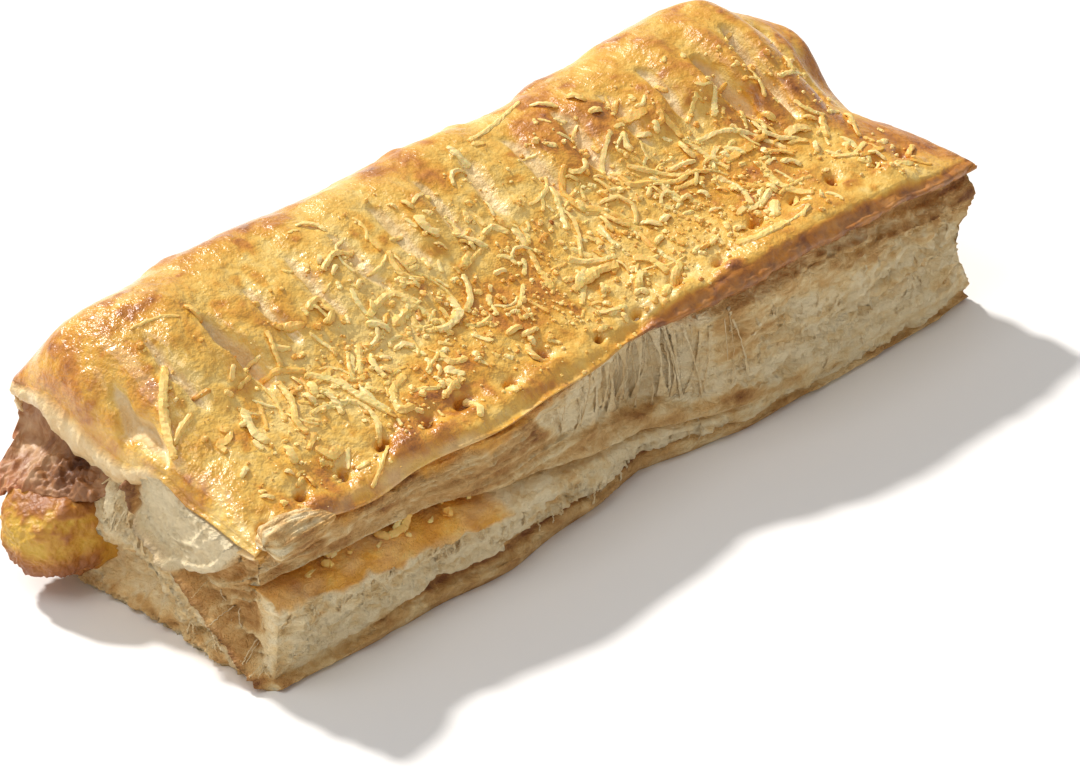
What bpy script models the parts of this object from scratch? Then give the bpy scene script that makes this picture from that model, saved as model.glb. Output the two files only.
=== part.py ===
"""A ham and cheese puff pastry: a long parcel of folded, risen dough with a slashed and glazed
top, baked round a ham slice and a cheese sauce that swells out of its left end.

Sizes are in millimetres and become metres where a mesh is made. Shapes are worked out with x
from the left end, y from the front face and z from the table; the finished frame has +X along
the parcel, +Y towards its folded back, +Z up, and its origin under the middle of its box.
"""
import math

import bmesh
import bpy
import numpy as np

MM = 0.001
LENGTH = 160.0
WIDTH = 61.5
RIM = 28.8  # height of the crust's front lip
RIDGE = 45.2  # height of the hump over the filling
BLOB_REACH = 11.2  # how far the sauce swells out of the left end
FIT_GAP = 0.3  # between solids that touch
ORIGIN_X = 75.8
ORIGIN_Y = 29.6

# Knife cuts: where along, how far across and how deep each is. The deepest gape.
SLASHES = (
    (1.4, 0.53, 2.2), (9.6, 0.53, 1.4), (21.2, 0.50, 3.0), (31.0, 0.54, 1.2), (41.3, 0.57, 1.1),
    (51.2, 0.58, 1.1), (61.6, 0.59, 1.2), (72.0, 0.60, 1.2), (82.3, 0.60, 1.3), (93.6, 0.60, 1.4),
    (104.2, 0.60, 1.5), (114.0, 0.60, 1.1), (124.0, 0.61, 1.5), (134.6, 0.54, 2.9), (143.0, 0.54, 2.3),
    (152.4, 0.56, 1.5),
)
SLASH_HALF_WIDTH = 1.6
SLASH_SPACING = 10.4

# Prick holes along the lip: x and y of each.
PRICKS = (
    (3.4, 6.6), (12.0, 7.6), (21.6, 8.0), (30.2, 8.2), (39.0, 7.0), (47.2, 7.2), (57.0, 6.4), (66.4, 8.0),
    (77.6, 6.2), (86.8, 6.6), (96.0, 7.4), (105.2, 6.2), (116.8, 8.8), (126.2, 8.8), (135.6, 9.0),
    (145.4, 7.8), (153.0, 8.6),
)

LEFT, RIGHT = 0, 1


def smooth(at, low, high):
    """0 below low, 1 above high, and an easy S between."""
    share = np.clip((np.asarray(at, float) - low) / (high - low), 0.0, 1.0)
    return share * share * (3.0 - 2.0 * share)


def bump(at, middle, half):
    """A round bump, 1 in the middle and nothing past about twice half."""
    return np.exp(-(((np.asarray(at, float) - middle) / half) ** 2))


def through(at, *knots):
    """A smooth curve through (position, value) knots, level past both ends."""
    spots, values = (np.array(k, float) for k in zip(*knots))
    slopes = np.gradient(values, spots)
    slopes[0] = slopes[-1] = 0.0
    at = np.clip(np.asarray(at, float), spots[0], spots[-1])
    i = np.clip(np.searchsorted(spots, at, side="right") - 1, 0, len(spots) - 2)
    span = spots[i + 1] - spots[i]
    s = (at - spots[i]) / span
    return (
        (2 * s**3 - 3 * s**2 + 1) * values[i]
        + (s**3 - 2 * s**2 + s) * span * slopes[i]
        + (3 * s**2 - 2 * s**3) * values[i + 1]
        + (s**3 - s**2) * span * slopes[i + 1]
    )


def lumps(x, y, z, cell, seed):
    """Smooth random lumps from -1 to 1, one value for each corner of a lattice of cells."""
    spot = np.stack(np.broadcast_arrays(x, y, z), -1) / np.asarray(cell, float)
    low = np.floor(spot).astype(np.int64)
    part = spot - low
    part = part * part * (3 - 2 * part)
    total = np.zeros(part.shape[:-1])
    for corner in np.ndindex(2, 2, 2):
        at = low + corner
        mixed = at[..., 0] * 73856093 ^ at[..., 1] * 19349663 ^ at[..., 2] * 83492791 ^ seed * 2654435
        mixed = (mixed ^ (mixed >> 13)) * 1274126177 & 0x7FFFFFFF
        mixed = mixed ^ (mixed >> 15)
        weight = np.prod(np.where(corner, part, 1 - part), axis=-1)
        total += weight * ((mixed & 0xFFFF) / 32767.5 - 1)
    return total


# The parcel's outline on the table.


def front_face(x):
    """The front face bellies out over its left half and is pinched past the middle."""
    belly = -1.6 * bump(x, 22, 18) - 2.6 * bump(x, 47, 11)
    pinch = 2.6 * bump(x, 84, 9)
    return belly + pinch - 1.1 * smooth(x, 95, 108) * (1 - smooth(x, 150, 161))


def back_face(x):
    return WIDTH + 0.4 * np.sin(np.asarray(x) / 19.0) - 0.3 * np.sin(np.asarray(x) / 7.0)


def end_face(end, y, z):
    """x of the left or right end face, with its forms: swollen sheets, torn cells and a waist."""
    calm = 1 - smooth(y, 54, 60)
    if end == LEFT:
        plan = -0.6 - 1.1 * bump(y, 13, 9) - 0.8 * bump(y, 44, 10) + 2.4 * bump(z, 24, 5) * smooth(y, 49, 58)
        return plan - calm * left_relief(y, z)
    waist = 4.0 * bump(z, 12.0, 5.6)
    tip = 1.0 * bump(z, 22.0, 3.0) * (1 - smooth(y, 1, 9))
    flakes = 0.5 * lumps(y, z * 3.0, 0, 4.0, 5)
    waist = waist * (0.55 + 0.45 * bump(y, 0, 20))
    return LENGTH + 1.6 - 1.2 * bump(y, 24, 12) + calm * (tip + flakes - waist)


def left_relief(y, z):
    """How far the left end stands out: a swollen pale shell over a hollow, a diagonal strip
    where the sheets part, and a large torn cell under the mouth."""
    strip_z = through(y, (0, -1.5), (3, 0.5), (13, 6.2), (24, 11.5), (31, 20.0), (36, 24.0))
    shell_z = through(y, (6, 23.0), (11, 18.3), (15, 15.7), (21, 14.0), (27, 13.7), (30, 20.0))
    on_shell = smooth(y, 5, 10) * (1 - smooth(y, 27, 31))
    shell = 1.4 * smooth(z, shell_z - 0.3, shell_z + 0.8) * on_shell
    hollow = 2.4 * bump(z, (shell_z + strip_z) / 2 + 0.5, 2.6) * on_shell
    strip = 1.3 * bump(z, strip_z, 0.9) * (1 - smooth(y, 33, 37))
    cell = 3.4 * bump(np.hypot((y - 35) / 7.5, (z - 7.0) / 4.6), 0, 0.8)
    mouth = 4.6 * bump(np.hypot((y - 49) / 11.5, (z - 24.6) / 4.0), 0, 0.95)
    low_cell = 2.0 * bump(np.hypot((y - 21) / 8.0, (z - 3.6 - 0.12 * (y - 21)) / 1.7), 0, 0.8)
    return shell - hollow + strip - cell - low_cell - mouth + 0.35 * lumps(0, y, z * 2.0, 4.0, 9)


# The glazed top.


def crust_height(x, across):
    """Height of the crust at x, with across running from 0 at the front lip to 1 at the back."""
    middle = through(
        across,
        (0, RIM), (0.03, RIM + 1.4), (0.13, 31.2), (0.24, 32.2), (0.33, 33.8), (0.42, 36.4),
        (0.52, 39.8), (0.61, 42.6), (0.71, 44.6), (0.79, RIDGE), (0.86, 44.2), (0.915, 41.6),
        (0.955, 38.2), (0.985, 35.0), (1, 33.0),
    )
    swell = through(x, (0, 1.0), (56, 1.0), (90, 0.9), (110, 0.91), (130, 1.0), (142, 1.0), (158, 0.9))
    middle = np.where(middle > 31, 31 + (middle - 31) * swell, middle)
    lip = through(
        x,
        (0, 26.5), (12, 25.6), (22, 24.4), (32, 26.0), (60, 26.6), (82, 26.4), (96, 27.6),
        (112, 28.9), (136, 29.2), (150, 28.6), (160, 27.4),
    )
    middle = middle + (lip - RIM) * (1 - smooth(across, 0.04, 0.3))
    left_edge = through(
        across, (0, 25.0), (0.16, 25.9), (0.27, 26.9), (0.39, 29.6), (0.5, 27.6), (0.6, 28.4),
        (0.73, 31.2), (0.86, 32.4), (1, 30.5),
    )
    right_edge = through(
        across, (0, 27.2), (0.3, 27.4), (0.46, 26.6), (0.54, 29.0), (0.63, 34.6), (0.8, 35.4), (1, 30.0)
    )
    from_left = np.clip(np.asarray(x, float) / 12.0, 0, 1)
    from_right = np.clip((LENGTH - np.asarray(x, float)) / 17.0, 0, 1)
    rise_left = np.sqrt(1 - (1 - from_left) ** 2)
    rise_right = 1 - (1 - from_right) ** 2
    height = left_edge + (middle - left_edge) * rise_left
    height = right_edge + (height - right_edge) * rise_right
    inner = smooth(across, 0.02, 0.12) * (1 - smooth(across, 0.9, 1.0))
    waves = 0.7 * lumps(x, across * WIDTH, 0, 15.0, 3) + 0.35 * lumps(x, across * WIDTH, 0, 6.0, 4)
    return height + inner * waves - slash_depth(x, across)


def slash_depth(x, across):
    """The knife cuts across the hump: each a spindle that sinks, between lips that rise."""
    sunk = 0.0
    for middle, centre, depth in SLASHES:
        along = 1 - smooth(np.abs(across - centre), 0.05, 0.17)
        off = np.asarray(x, float) - middle
        sunk = sunk + along * (depth * bump(off, 0, SLASH_HALF_WIDTH * 0.75) - 0.35 * depth * bump(np.abs(off), 2.9, 1.3))
    return sunk


# The walls, as rows from the table up to the crust's lip.

SEAM = ((0, 17.6), (15, 17.0), (30, 16.2), (45, 14.6), (60, 11.8), (80, 8.0), (100, 5.2), (112, 4.4), (160, 4.2))
LEDGE_REACH = ((0, 4.4), (30, 4.9), (45, 4.0), (60, 2.2), (80, 0.9), (100, 0.2), (112, 0.0))
LEDGE_DROP = ((0, 2.2), (30, 3.5), (45, 2.7), (60, 2.0), (80, 1.8), (100, 1.0), (112, 0.6))
BASE_TOP = ((0, 1.9), (14, 2.5), (30, 1.9), (50, 1.5), (65, 3.2), (80, 3.6), (98, 3.0), (112, 1.9), (160, 1.7))
UNDER_LIP = ((84, 25.4), (96, 26.2), (110, 26.6), (129, 27.0), (143, 24.4), (155, 23.2), (162, 24.0))


def front_rows(x):
    """(depth behind the front face, height) of each row on the front wall: the base sheet and
    its groove, the lower sheet's wall and ledge, the seam, the upper sheet's torn edge, the
    groove under the lip, and the lip."""
    x = np.asarray(x, float)
    lip_z = crust_height(x, np.zeros_like(x))
    lip_in = through(x, (0, 4.2), (20, 4.2), (45, 3.0), (60, 2.0), (80, 1.8), (95, 1.2), (110, 0.8), (160, 0.3))
    seam = through(x, *SEAM)
    reach = through(x, *LEDGE_REACH)
    ledge = seam - through(x, *LEDGE_DROP)
    base = through(x, *BASE_TOP)
    wall = ledge - base
    seam_cut = 2.6 * (1 - smooth(x, 50, 104))
    web = 4.4 * bump(x, 79, 19)
    band = 2.4 + 2.2 * bump(x, 72, 16)
    groove = 2.6 * smooth(x, 84, 98) * (1 - 0.7 * smooth(x, 148, 159))
    under = through(x, *UNDER_LIP)
    under = under + (lip_z - 1.2 - under) * (1 - smooth(x, 84, 98))
    low_web = seam + band + 1.4
    high_web = under - 2.2
    zero = np.zeros_like(x)
    rows = [
        (zero + 0.9, zero),
        (zero, 0.55 * base),
        (0.7 + 0.08 * wall, base),
        (0.4 + 0.04 * wall, base + 0.25 * wall),
        (zero + 0.7, base + 0.5 * wall),
        (zero + 0.4, base + 0.75 * wall),
        (zero, ledge),
        (0.5 * reach, ledge + 0.65 * (seam - ledge)),
        (reach + seam_cut, seam),
        (reach - 0.5 * smooth(reach, 0, 0.6), seam + 0.9),
        (0.7 * reach + 0.3 * lip_in, seam + band),
        (0.6 * reach + 0.4 * lip_in + web, low_web),
        (0.5 * reach + 0.5 * lip_in + 1.1 * web, low_web + 0.33 * (high_web - low_web)),
        (0.4 * reach + 0.6 * lip_in + web, low_web + 0.67 * (high_web - low_web)),
        (0.3 * reach + 0.7 * lip_in + 0.8 * web, high_web),
        (lip_in + 0.7 + groove, under),
        (lip_in + 0.1, lip_z - 0.9 * (1 - 0.3 * bump(x, 150, 8))),
        (lip_in, lip_z),
    ]
    depth, height = (np.stack(part, -1) for part in zip(*rows))
    flakes = 0.45 * lumps(x[:, None] / 2.2, 0, height, 2.3, 11)
    flakes[:, [0, 1, 8, -2, -1]] = 0.0
    return depth + flakes, height


ROWS = 18
SHARE = np.linspace(0, 1, ROWS)
# The back is plain, so some of its rows lie on each other and are welded later.
PLAIN_SHARE = np.repeat([0, 0.07, 0.3, 0.5, 0.62, 0.74, 0.86, 0.95, 1], [1, 2, 4, 2, 2, 2, 2, 2, 1])


def front_point(a):
    """Points of the front wall, rows of each column, for a from 0 at the left to 1."""
    depth, height = front_rows(a * LENGTH)
    low = end_face(LEFT, 0.0, height)
    high = end_face(RIGHT, 0.0, height)
    x = low + a[:, None] * (high - low)
    y = front_face(a * LENGTH)[:, None] + depth
    return np.stack([x, y, height], -1)


def back_point(a, share=SHARE):
    """Points of the folded back: upright, tucked in at the table and leaning in at the top."""
    x = a * LENGTH
    top = crust_height(x, np.ones_like(x))
    height = top[:, None] * share
    tuck = 2.6 * (1 - smooth(height, 0, 5)) + 1.1 * smooth(height, 18, 33)
    y = back_face(x)[:, None] - tuck + 0.35 * lumps(x[:, None], 0, height, 12.0, 21)
    low = end_face(LEFT, WIDTH, height)
    high = end_face(RIGHT, WIDTH, height)
    return np.stack([low + a[:, None] * (high - low), y, height], -1)


def end_point(end, b):
    """Points of an end wall, for b from 0 at the front corner to 1 at the back corner. The
    front corner's rows carry the seam round for a few millimetres."""
    a = np.array([float(end)])
    front, back = front_point(a)[0], back_point(a)[0]
    top = crust_height(np.full_like(b, end * LENGTH), b)[:, None]
    height = top * (SHARE + (front[:, 2] / front[-1, 2] - SHARE) * (1 - smooth(b, 0.0, 1.0)[:, None]))
    mean_y = front[:, 1].mean() + b[:, None] * (back[:, 1].mean() - front[:, 1].mean())
    bend = (front[:, 1] - front[:, 1].mean()) * (1 - b[:, None]) ** 5
    bend = bend + (back[:, 1] - back[:, 1].mean()) * b[:, None] ** 5
    y = mean_y + bend
    return np.stack([end_face(end, y, height), y, height], -1)


def top_point(a, b):
    """A grid of points on the crust, a along the parcel and b across it."""
    left, right = end_point(LEFT, b)[:, -1], end_point(RIGHT, b)[:, -1]
    front, back = front_point(a)[:, -1], back_point(a)[:, -1]
    x = left[None, :, 0] + a[:, None] * (right - left)[None, :, 0]
    y = front[:, None, 1] + b[None, :] * (back - front)[:, None, 1]
    return np.stack([x, y, crust_height(a[:, None] * LENGTH, b[None, :])], -1)


def crust_at(x, y):
    """The crust's height over a point of the plan."""
    a = np.clip(np.asarray(x, float) / LENGTH, 0, 1)
    front = front_point(np.atleast_1d(a))[:, -1, 1]
    back = back_point(np.atleast_1d(a))[:, -1, 1]
    across = np.clip((y - front) / (back - front), 0, 1)
    return crust_height(a * LENGTH, across)


def mesh_object(name, points, faces, colour, roughness):
    """One named object, from points in millimetres of the parcel's own measure."""
    at = (np.asarray(points, float) - (ORIGIN_X, ORIGIN_Y, 0.0)) * MM
    mesh = bpy.data.meshes.new(name)
    mesh.from_pydata(at.tolist(), [], faces)
    mesh.validate()
    made = bpy.data.objects.new(name, mesh)
    bpy.context.scene.collection.objects.link(made)
    material = bpy.data.materials.get(name) or bpy.data.materials.new(name)
    material.use_nodes = True
    shader = material.node_tree.nodes["Principled BSDF"]
    shader.inputs["Base Color"].default_value = (*colour, 1.0)
    shader.inputs["Roughness"].default_value = roughness
    shader.inputs["Metallic"].default_value = 0.0
    mesh.materials.append(material)
    mesh.shade_smooth()
    mesh.set_sharp_from_angle(angle=math.radians(38))
    return made


def boolean(target, other, operation, solver="EXACT"):
    """Applies one Boolean with an object or a collection, which is then removed."""
    step = target.modifiers.new(operation.lower(), "BOOLEAN")
    step.operation = operation
    step.solver = solver
    if isinstance(other, bpy.types.Collection):
        step.operand_type = "COLLECTION"
        step.collection = other
        used = list(other.objects)
    else:
        step.object = other
        used = [other]
    with bpy.context.temp_override(object=target, active_object=target):
        bpy.ops.object.modifier_apply(modifier=step.name)
    for piece in used:
        bpy.data.objects.remove(piece)


# The dough.


def column_spots():
    """Spots along the parcel: three at each slash and one between slashes, and the ends."""
    spots = []
    for middle, _, _ in SLASHES:
        spots += [middle - SLASH_HALF_WIDTH, middle, middle + SLASH_HALF_WIDTH, middle + SLASH_SPACING / 2]
    spots = [s for s in spots if 1.2 < s < LENGTH - 3.5]
    return np.array([0.0, *spots, 157.5, 159.3, LENGTH]) / LENGTH


ACROSS = np.array([0, 0.03, 0.1, 0.18, 0.27, 0.36, 0.44, 0.51, 0.57, 0.64, 0.7, 0.76, 0.83, 0.89, 0.945, 0.98, 1])


def make_dough():
    """The folded dough as one closed surface: a ring of wall columns, the crust and the base."""
    along = column_spots()
    front = front_point(along)
    back = back_point(along, PLAIN_SHARE)[::-1]
    right = end_point(RIGHT, ACROSS)
    left = end_point(LEFT, ACROSS)[::-1]
    ring = np.concatenate([front[:-1], right[:-1], back[:-1], left[:-1]])
    columns = len(ring)
    faces = []
    for c in range(columns):
        beside = (c + 1) % columns
        for r in range(ROWS - 1):
            faces.append((c * ROWS + r, beside * ROWS + r, beside * ROWS + r + 1, c * ROWS + r + 1))
    faces.append([c * ROWS for c in range(columns)][::-1])
    inner = top_point(along, ACROSS)[1:-1, 1:-1]
    wide, deep = len(along), len(ACROSS)
    first_inner = columns * ROWS

    def top_index(i, j):
        """The rim's points are the ring's own top row."""
        if j == 0:
            column = i
        elif i == wide - 1:
            column = wide - 1 + j
        elif j == deep - 1:
            column = wide - 1 + deep - 1 + (wide - 1 - i)
        elif i == 0:
            column = 2 * (wide - 1) + deep - 1 + (deep - 1 - j)
        else:
            return first_inner + (i - 1) * (deep - 2) + j - 1
        return (column % columns) * ROWS + ROWS - 1

    for i in range(wide - 1):
        for j in range(deep - 1):
            faces.append((top_index(i, j), top_index(i + 1, j), top_index(i + 1, j + 1), top_index(i, j + 1)))
    points = np.concatenate([ring.reshape(-1, 3), inner.reshape(-1, 3)])
    return mesh_object("pastry", points, faces, (0.80, 0.47, 0.15), 0.42)


# The filling, swept along the parcel inside the hump.

ROUND = 28
FILLING_MIDDLE_Y = 45.4
HAM_FROM, HAM_TO = math.radians(18), math.radians(168)
HAM_THICK = 2.2
SAUCE_SPOTS = np.array([-11.0, -10.3, -8.9, -7.2, -6.2, -4.8, -3.2, -1.6, 0.4, 4, 14, 50, 90, 130, 152, 156.2, 157.6])


def filling_section(x, turn, out):
    """Points round the filling at x: an upright squashed oval that bulges outside the left end
    and closes at its tip, and at its recessed face in the right end. out is added all round."""
    x = np.asarray(x, float)
    tip = np.clip((x + BLOB_REACH) / BLOB_REACH, 0, 1)
    swell = np.sqrt(np.clip(1 - (1 - tip) ** 2.6, 0, 1))
    far = np.sqrt(np.clip(1 - (1 - np.clip((LENGTH - 2.0 - x) / 3.0, 0, 1)) ** 2, 0, 1))
    bulge = bump(x, -3.5, 4.5)
    half_wide = (10.6 + 1.3 * bulge) * swell * far + out
    half_high = (8.8 + 1.0 * bulge) * swell * far + out
    middle_y = FILLING_MIDDLE_Y + 3.4 * (1 - smooth(x, -11, 3))
    middle_z = 12.4 - 1.5 * bulge
    cos, sin = np.cos(turn), np.sin(turn)
    power = 0.84
    y = middle_y + half_wide * np.sign(cos) * np.abs(cos) ** power
    z = middle_z + half_high * np.sign(sin) * np.abs(sin) ** power
    return np.stack(np.broadcast_arrays(x, y, z), -1)


def tube_faces(rings, round_count):
    """Faces of a capped tube whose rings each have the same count of points."""
    faces = []
    for i in range(rings - 1):
        for k in range(round_count):
            n = (k + 1) % round_count
            faces.append((i * round_count + k, (i + 1) * round_count + k, (i + 1) * round_count + n, i * round_count + n))
    faces.append(list(range(round_count)))
    last = (rings - 1) * round_count
    faces.append([last + k for k in range(round_count)][::-1])
    return faces


def make_filling():
    """The cheese sauce: a blob at the left, a plug through the parcel, a flat end at the right."""
    turn = np.linspace(0, 2 * math.pi, ROUND, endpoint=False)
    points = filling_section(SAUCE_SPOTS[:, None], turn[None, :], 0.0)
    bare = (1 - smooth(points[..., 0], -5, -1)) * smooth(-np.sin(turn), -0.2, 0.4)
    points = points + (0.5 * bare * lumps(*np.moveaxis(points, -1, 0), 3.5, 31))[..., None] * (0, 1, 1)
    faces = tube_faces(len(SAUCE_SPOTS), ROUND)
    return mesh_object("cheese_sauce", points.reshape(-1, 3), faces, (0.78, 0.45, 0.10), 0.45)


def make_ham():
    """The ham slice: a wrinkled sheet over the sauce, hanging down over the blob's top."""
    spots = SAUCE_SPOTS[(SAUCE_SPOTS > -8) & (SAUCE_SPOTS < 157)]
    turn = np.linspace(HAM_FROM, HAM_TO, 15)
    loop = []
    for x in spots:
        wrinkle = 0.35 * np.sin(turn * 9 + x * 0.6) * (1 - smooth(x, 2, 12))
        outer = filling_section(x, turn, FIT_GAP + HAM_THICK + wrinkle)
        inner = filling_section(x, turn[::-1], FIT_GAP)
        loop.append(np.concatenate([outer, inner]))
    points = np.concatenate(loop)
    return mesh_object("ham", points, tube_faces(len(spots), 2 * len(turn)), (0.36, 0.17, 0.12), 0.5)


def make_tunnel():
    """The room that the sauce and the ham take in the dough, longer than the parcel."""
    spots = np.array([-18.0, -3.2, -1.6, 0.4, 4, 14, 50, 90, 130, 150, 172.0])
    turn = np.linspace(0, 2 * math.pi, ROUND, endpoint=False)
    over_ham = smooth(turn, HAM_FROM - 0.28, HAM_FROM - 0.06) * (1 - smooth(turn, HAM_TO + 0.06, HAM_TO + 0.28))
    out = FIT_GAP + over_ham * (HAM_THICK + 0.35 + FIT_GAP)
    rings = []
    for x in spots:
        section = filling_section(np.clip(x, -3.2, 150.0), turn, out)
        section[:, 0] = x
        rings.append(section)
    return mesh_object("tunnel", np.concatenate(rings), tube_faces(len(spots), ROUND), (1, 1, 1), 1.0)


def make_pricks(into):
    """Cones that press a row of prick holes into the band along the lip."""
    sides = 6
    for i, (x, y) in enumerate(PRICKS):
        top = float(crust_at(x, y)[0])
        turn = np.linspace(0, 2 * math.pi, sides, endpoint=False)
        ring = np.stack([x + 1.5 * np.cos(turn), y + 1.1 * np.sin(turn), np.full(sides, top + 1.2)], -1)
        deep = np.stack([x + 0.5 * np.cos(turn), y + 0.4 * np.sin(turn), np.full(sides, top - 2.0)], -1)
        hole = mesh_object(f"prick_{i}", np.concatenate([deep, ring]), tube_faces(2, sides), (1, 1, 1), 1.0)
        bpy.context.scene.collection.objects.unlink(hole)
        into.objects.link(hole)


# Grated cheese, fused to the crust.

LONG_SHREDS = 42
CRUMBS = 28


def scatter(draw, count):
    """Spots on the crust, most of them on the middle of the front band and the hump's flank."""
    spots = []
    while len(spots) < count:
        x = draw.uniform(8, LENGTH - 5)
        y = draw.uniform(7, 46)
        likely = (0.25 + 0.75 * bump(x, 84, 46)) * (0.15 + 0.85 * bump(y, 19, 13))
        near = any(math.hypot(x - p, y - q) < 2.4 for p, q in spots)
        if draw.uniform() < likely and not near:
            spots.append((x, y))
    return spots


def shred(draw, x, y, length, width):
    """One bent shred, flat on top with a keel that sinks into the crust."""
    steps = 5
    heading = draw.uniform(0, 2 * math.pi)
    bend = draw.uniform(-1.9, 1.9)
    along = np.linspace(-0.5, 0.5, steps)
    angle = heading + bend * along
    step_x = np.cumsum(np.cos(angle)) * length / steps
    step_y = np.cumsum(np.sin(angle)) * length / steps
    path_x = np.clip(x + step_x - step_x.mean(), 5, LENGTH - 4)
    path_y = np.clip(y + step_y - step_y.mean(), 6, 50)
    lie = crust_at(path_x, path_y) + 0.32 * width
    side = np.stack([-np.sin(angle), np.cos(angle), np.zeros(steps)], -1)
    middle = np.stack([path_x, path_y, lie], -1)
    thin = (0.45 + 0.55 * np.sin(np.linspace(0.35, math.pi - 0.35, steps)))[:, None] * width / 2
    up = np.array([0, 0, 1.0])
    corners = [side + up, -side + up, -1.8 * up]
    rings = np.stack([middle + thin * corner for corner in corners], 1)
    return rings.reshape(-1, 3), tube_faces(steps, 3)


def crumb(draw, x, y, size):
    """One crumb: a squashed six-sided bead sunk in the crust."""
    turn = np.linspace(0, 2 * math.pi, 5, endpoint=False) + draw.uniform(0, 1)
    stretch = draw.uniform(0.8, 1.5)
    base = float(crust_at(x, y)[0])
    rings = []
    for level, share in ((-0.9, 0.7), (0.15, 1.0), (0.75, 0.55)):
        reach = share * size / 2
        rings.append(np.stack([x + reach * stretch * np.cos(turn), y + reach * np.sin(turn), np.full(5, base + level * size / 2)], -1))
    return np.concatenate(rings), tube_faces(3, 5)


def make_cheese(into):
    """The grated cheese as a collection of closed bits, the largest first."""
    draw = np.random.default_rng(7)
    bits = []
    for x, y in scatter(draw, LONG_SHREDS):
        bits.append(shred(draw, x, y, draw.uniform(6, 14), draw.uniform(1.3, 1.9)))
    for x, y in scatter(draw, CRUMBS):
        bits.append(crumb(draw, x, y, draw.uniform(1.5, 2.6)))
    for i, (points, faces) in enumerate(bits):
        bit = mesh_object(f"bit_{i}", points, faces, (0.9, 0.7, 0.35), 0.5)
        bpy.context.scene.collection.objects.unlink(bit)
        into.objects.link(bit)


def face_outwards(thing):
    """Welds a closed mesh, cuts it into triangles and turns every face outwards."""
    work = bmesh.new()
    work.from_mesh(thing.data)
    bmesh.ops.remove_doubles(work, verts=work.verts, dist=1e-6)
    bmesh.ops.triangulate(work, faces=work.faces)
    bmesh.ops.recalc_face_normals(work, faces=work.faces)
    if work.calc_volume(signed=True) < 0:
        bmesh.ops.reverse_faces(work, faces=work.faces)
    work.to_mesh(thing.data)
    work.free()


def main():
    for thing in list(bpy.data.objects):
        bpy.data.objects.remove(thing)
    pastry = make_dough()
    face_outwards(pastry)
    tunnel = make_tunnel()
    face_outwards(tunnel)
    boolean(pastry, tunnel, "DIFFERENCE")
    pricks = bpy.data.collections.new("pricks")
    make_pricks(pricks)
    for hole in pricks.objects:
        face_outwards(hole)
    boolean(pastry, pricks, "DIFFERENCE")
    cheese = bpy.data.collections.new("cheese")
    make_cheese(cheese)
    for bit in cheese.objects:
        face_outwards(bit)
    boolean(pastry, cheese, "UNION")
    bpy.data.collections.remove(pricks)
    bpy.data.collections.remove(cheese)
    for thing in (make_filling(), make_ham()):
        face_outwards(thing)


main()
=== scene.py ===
"""A ham and cheese puff pastry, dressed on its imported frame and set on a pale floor.

Shapes are worked out in millimetres, with x from the parcel's left end, y from its front face
and z from the table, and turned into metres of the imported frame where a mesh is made.
"""

import math

import bpy
import numpy as np
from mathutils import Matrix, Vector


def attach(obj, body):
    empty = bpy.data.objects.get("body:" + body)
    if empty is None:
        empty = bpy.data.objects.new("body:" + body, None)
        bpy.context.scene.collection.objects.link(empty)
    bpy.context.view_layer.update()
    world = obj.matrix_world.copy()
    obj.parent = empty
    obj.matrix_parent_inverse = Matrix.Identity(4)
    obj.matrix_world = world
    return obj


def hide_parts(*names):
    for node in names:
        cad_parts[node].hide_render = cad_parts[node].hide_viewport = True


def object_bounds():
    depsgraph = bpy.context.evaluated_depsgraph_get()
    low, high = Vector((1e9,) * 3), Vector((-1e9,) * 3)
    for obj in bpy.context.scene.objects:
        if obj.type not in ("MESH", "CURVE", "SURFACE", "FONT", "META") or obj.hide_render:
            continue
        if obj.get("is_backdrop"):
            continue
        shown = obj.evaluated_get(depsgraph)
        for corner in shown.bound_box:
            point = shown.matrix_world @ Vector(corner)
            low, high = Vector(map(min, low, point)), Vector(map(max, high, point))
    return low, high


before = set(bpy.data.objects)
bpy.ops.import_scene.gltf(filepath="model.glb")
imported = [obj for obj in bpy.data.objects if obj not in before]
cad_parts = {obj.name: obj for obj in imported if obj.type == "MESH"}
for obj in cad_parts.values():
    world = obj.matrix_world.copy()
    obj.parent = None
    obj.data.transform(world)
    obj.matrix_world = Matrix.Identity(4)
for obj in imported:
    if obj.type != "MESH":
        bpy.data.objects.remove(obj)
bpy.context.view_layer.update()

# The risen dough: one long parcel of thin folded sheets that lifted apart in the oven. The front
# wall shows the seam of the lower and the upper sheet, and the left end is torn open. It is one
# closed ring of columns, from the table up to the underside of the crust.
LENGTH, WIDTH = 160.0, 61.5
FRAME_AT = np.array([75.8, 29.6, 0.0])
DOUGH_ROWS = 106
FRONT_COLUMNS, SIDE_COLUMNS, LEFT_COLUMNS = 432, 96, 188
END_REACH = 5.0  # how far in from an end the walls and the crust take up its outline

# Each pair is a place along the parcel and a height there, or a distance out from the wall.
LIP_IN = ((0, 4.2), (20, 4.2), (45, 3.0), (60, 2.0), (80, 1.8), (95, 1.2), (110, 0.8), (160, 0.3))
SEAM = (
    (0, 17.6), (15, 17.0), (30, 16.2), (45, 14.6), (60, 11.8), (80, 8.0), (100, 5.2), (112, 4.4), (160, 4.2),
)
LEDGE_REACH = ((0, 4.4), (30, 4.9), (45, 4.0), (60, 2.2), (80, 0.9), (100, 0.2), (112, 0.0))
LEDGE_DROP = ((0, 2.2), (30, 3.5), (45, 2.7), (60, 2.0), (80, 1.8), (100, 1.0), (112, 0.6))
BASE_TOP = (
    (0, 1.6), (14, 2.2), (25, 3.8), (38, 4.4), (51, 4.3), (63, 3.8), (72, 3.3), (80, 3.6), (98, 3.0),
    (112, 1.9), (160, 1.7),
)
UNDER_LIP = ((84, 25.4), (96, 26.2), (110, 26.6), (129, 27.0), (143, 24.4), (155, 23.2), (162, 24.0))
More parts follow.
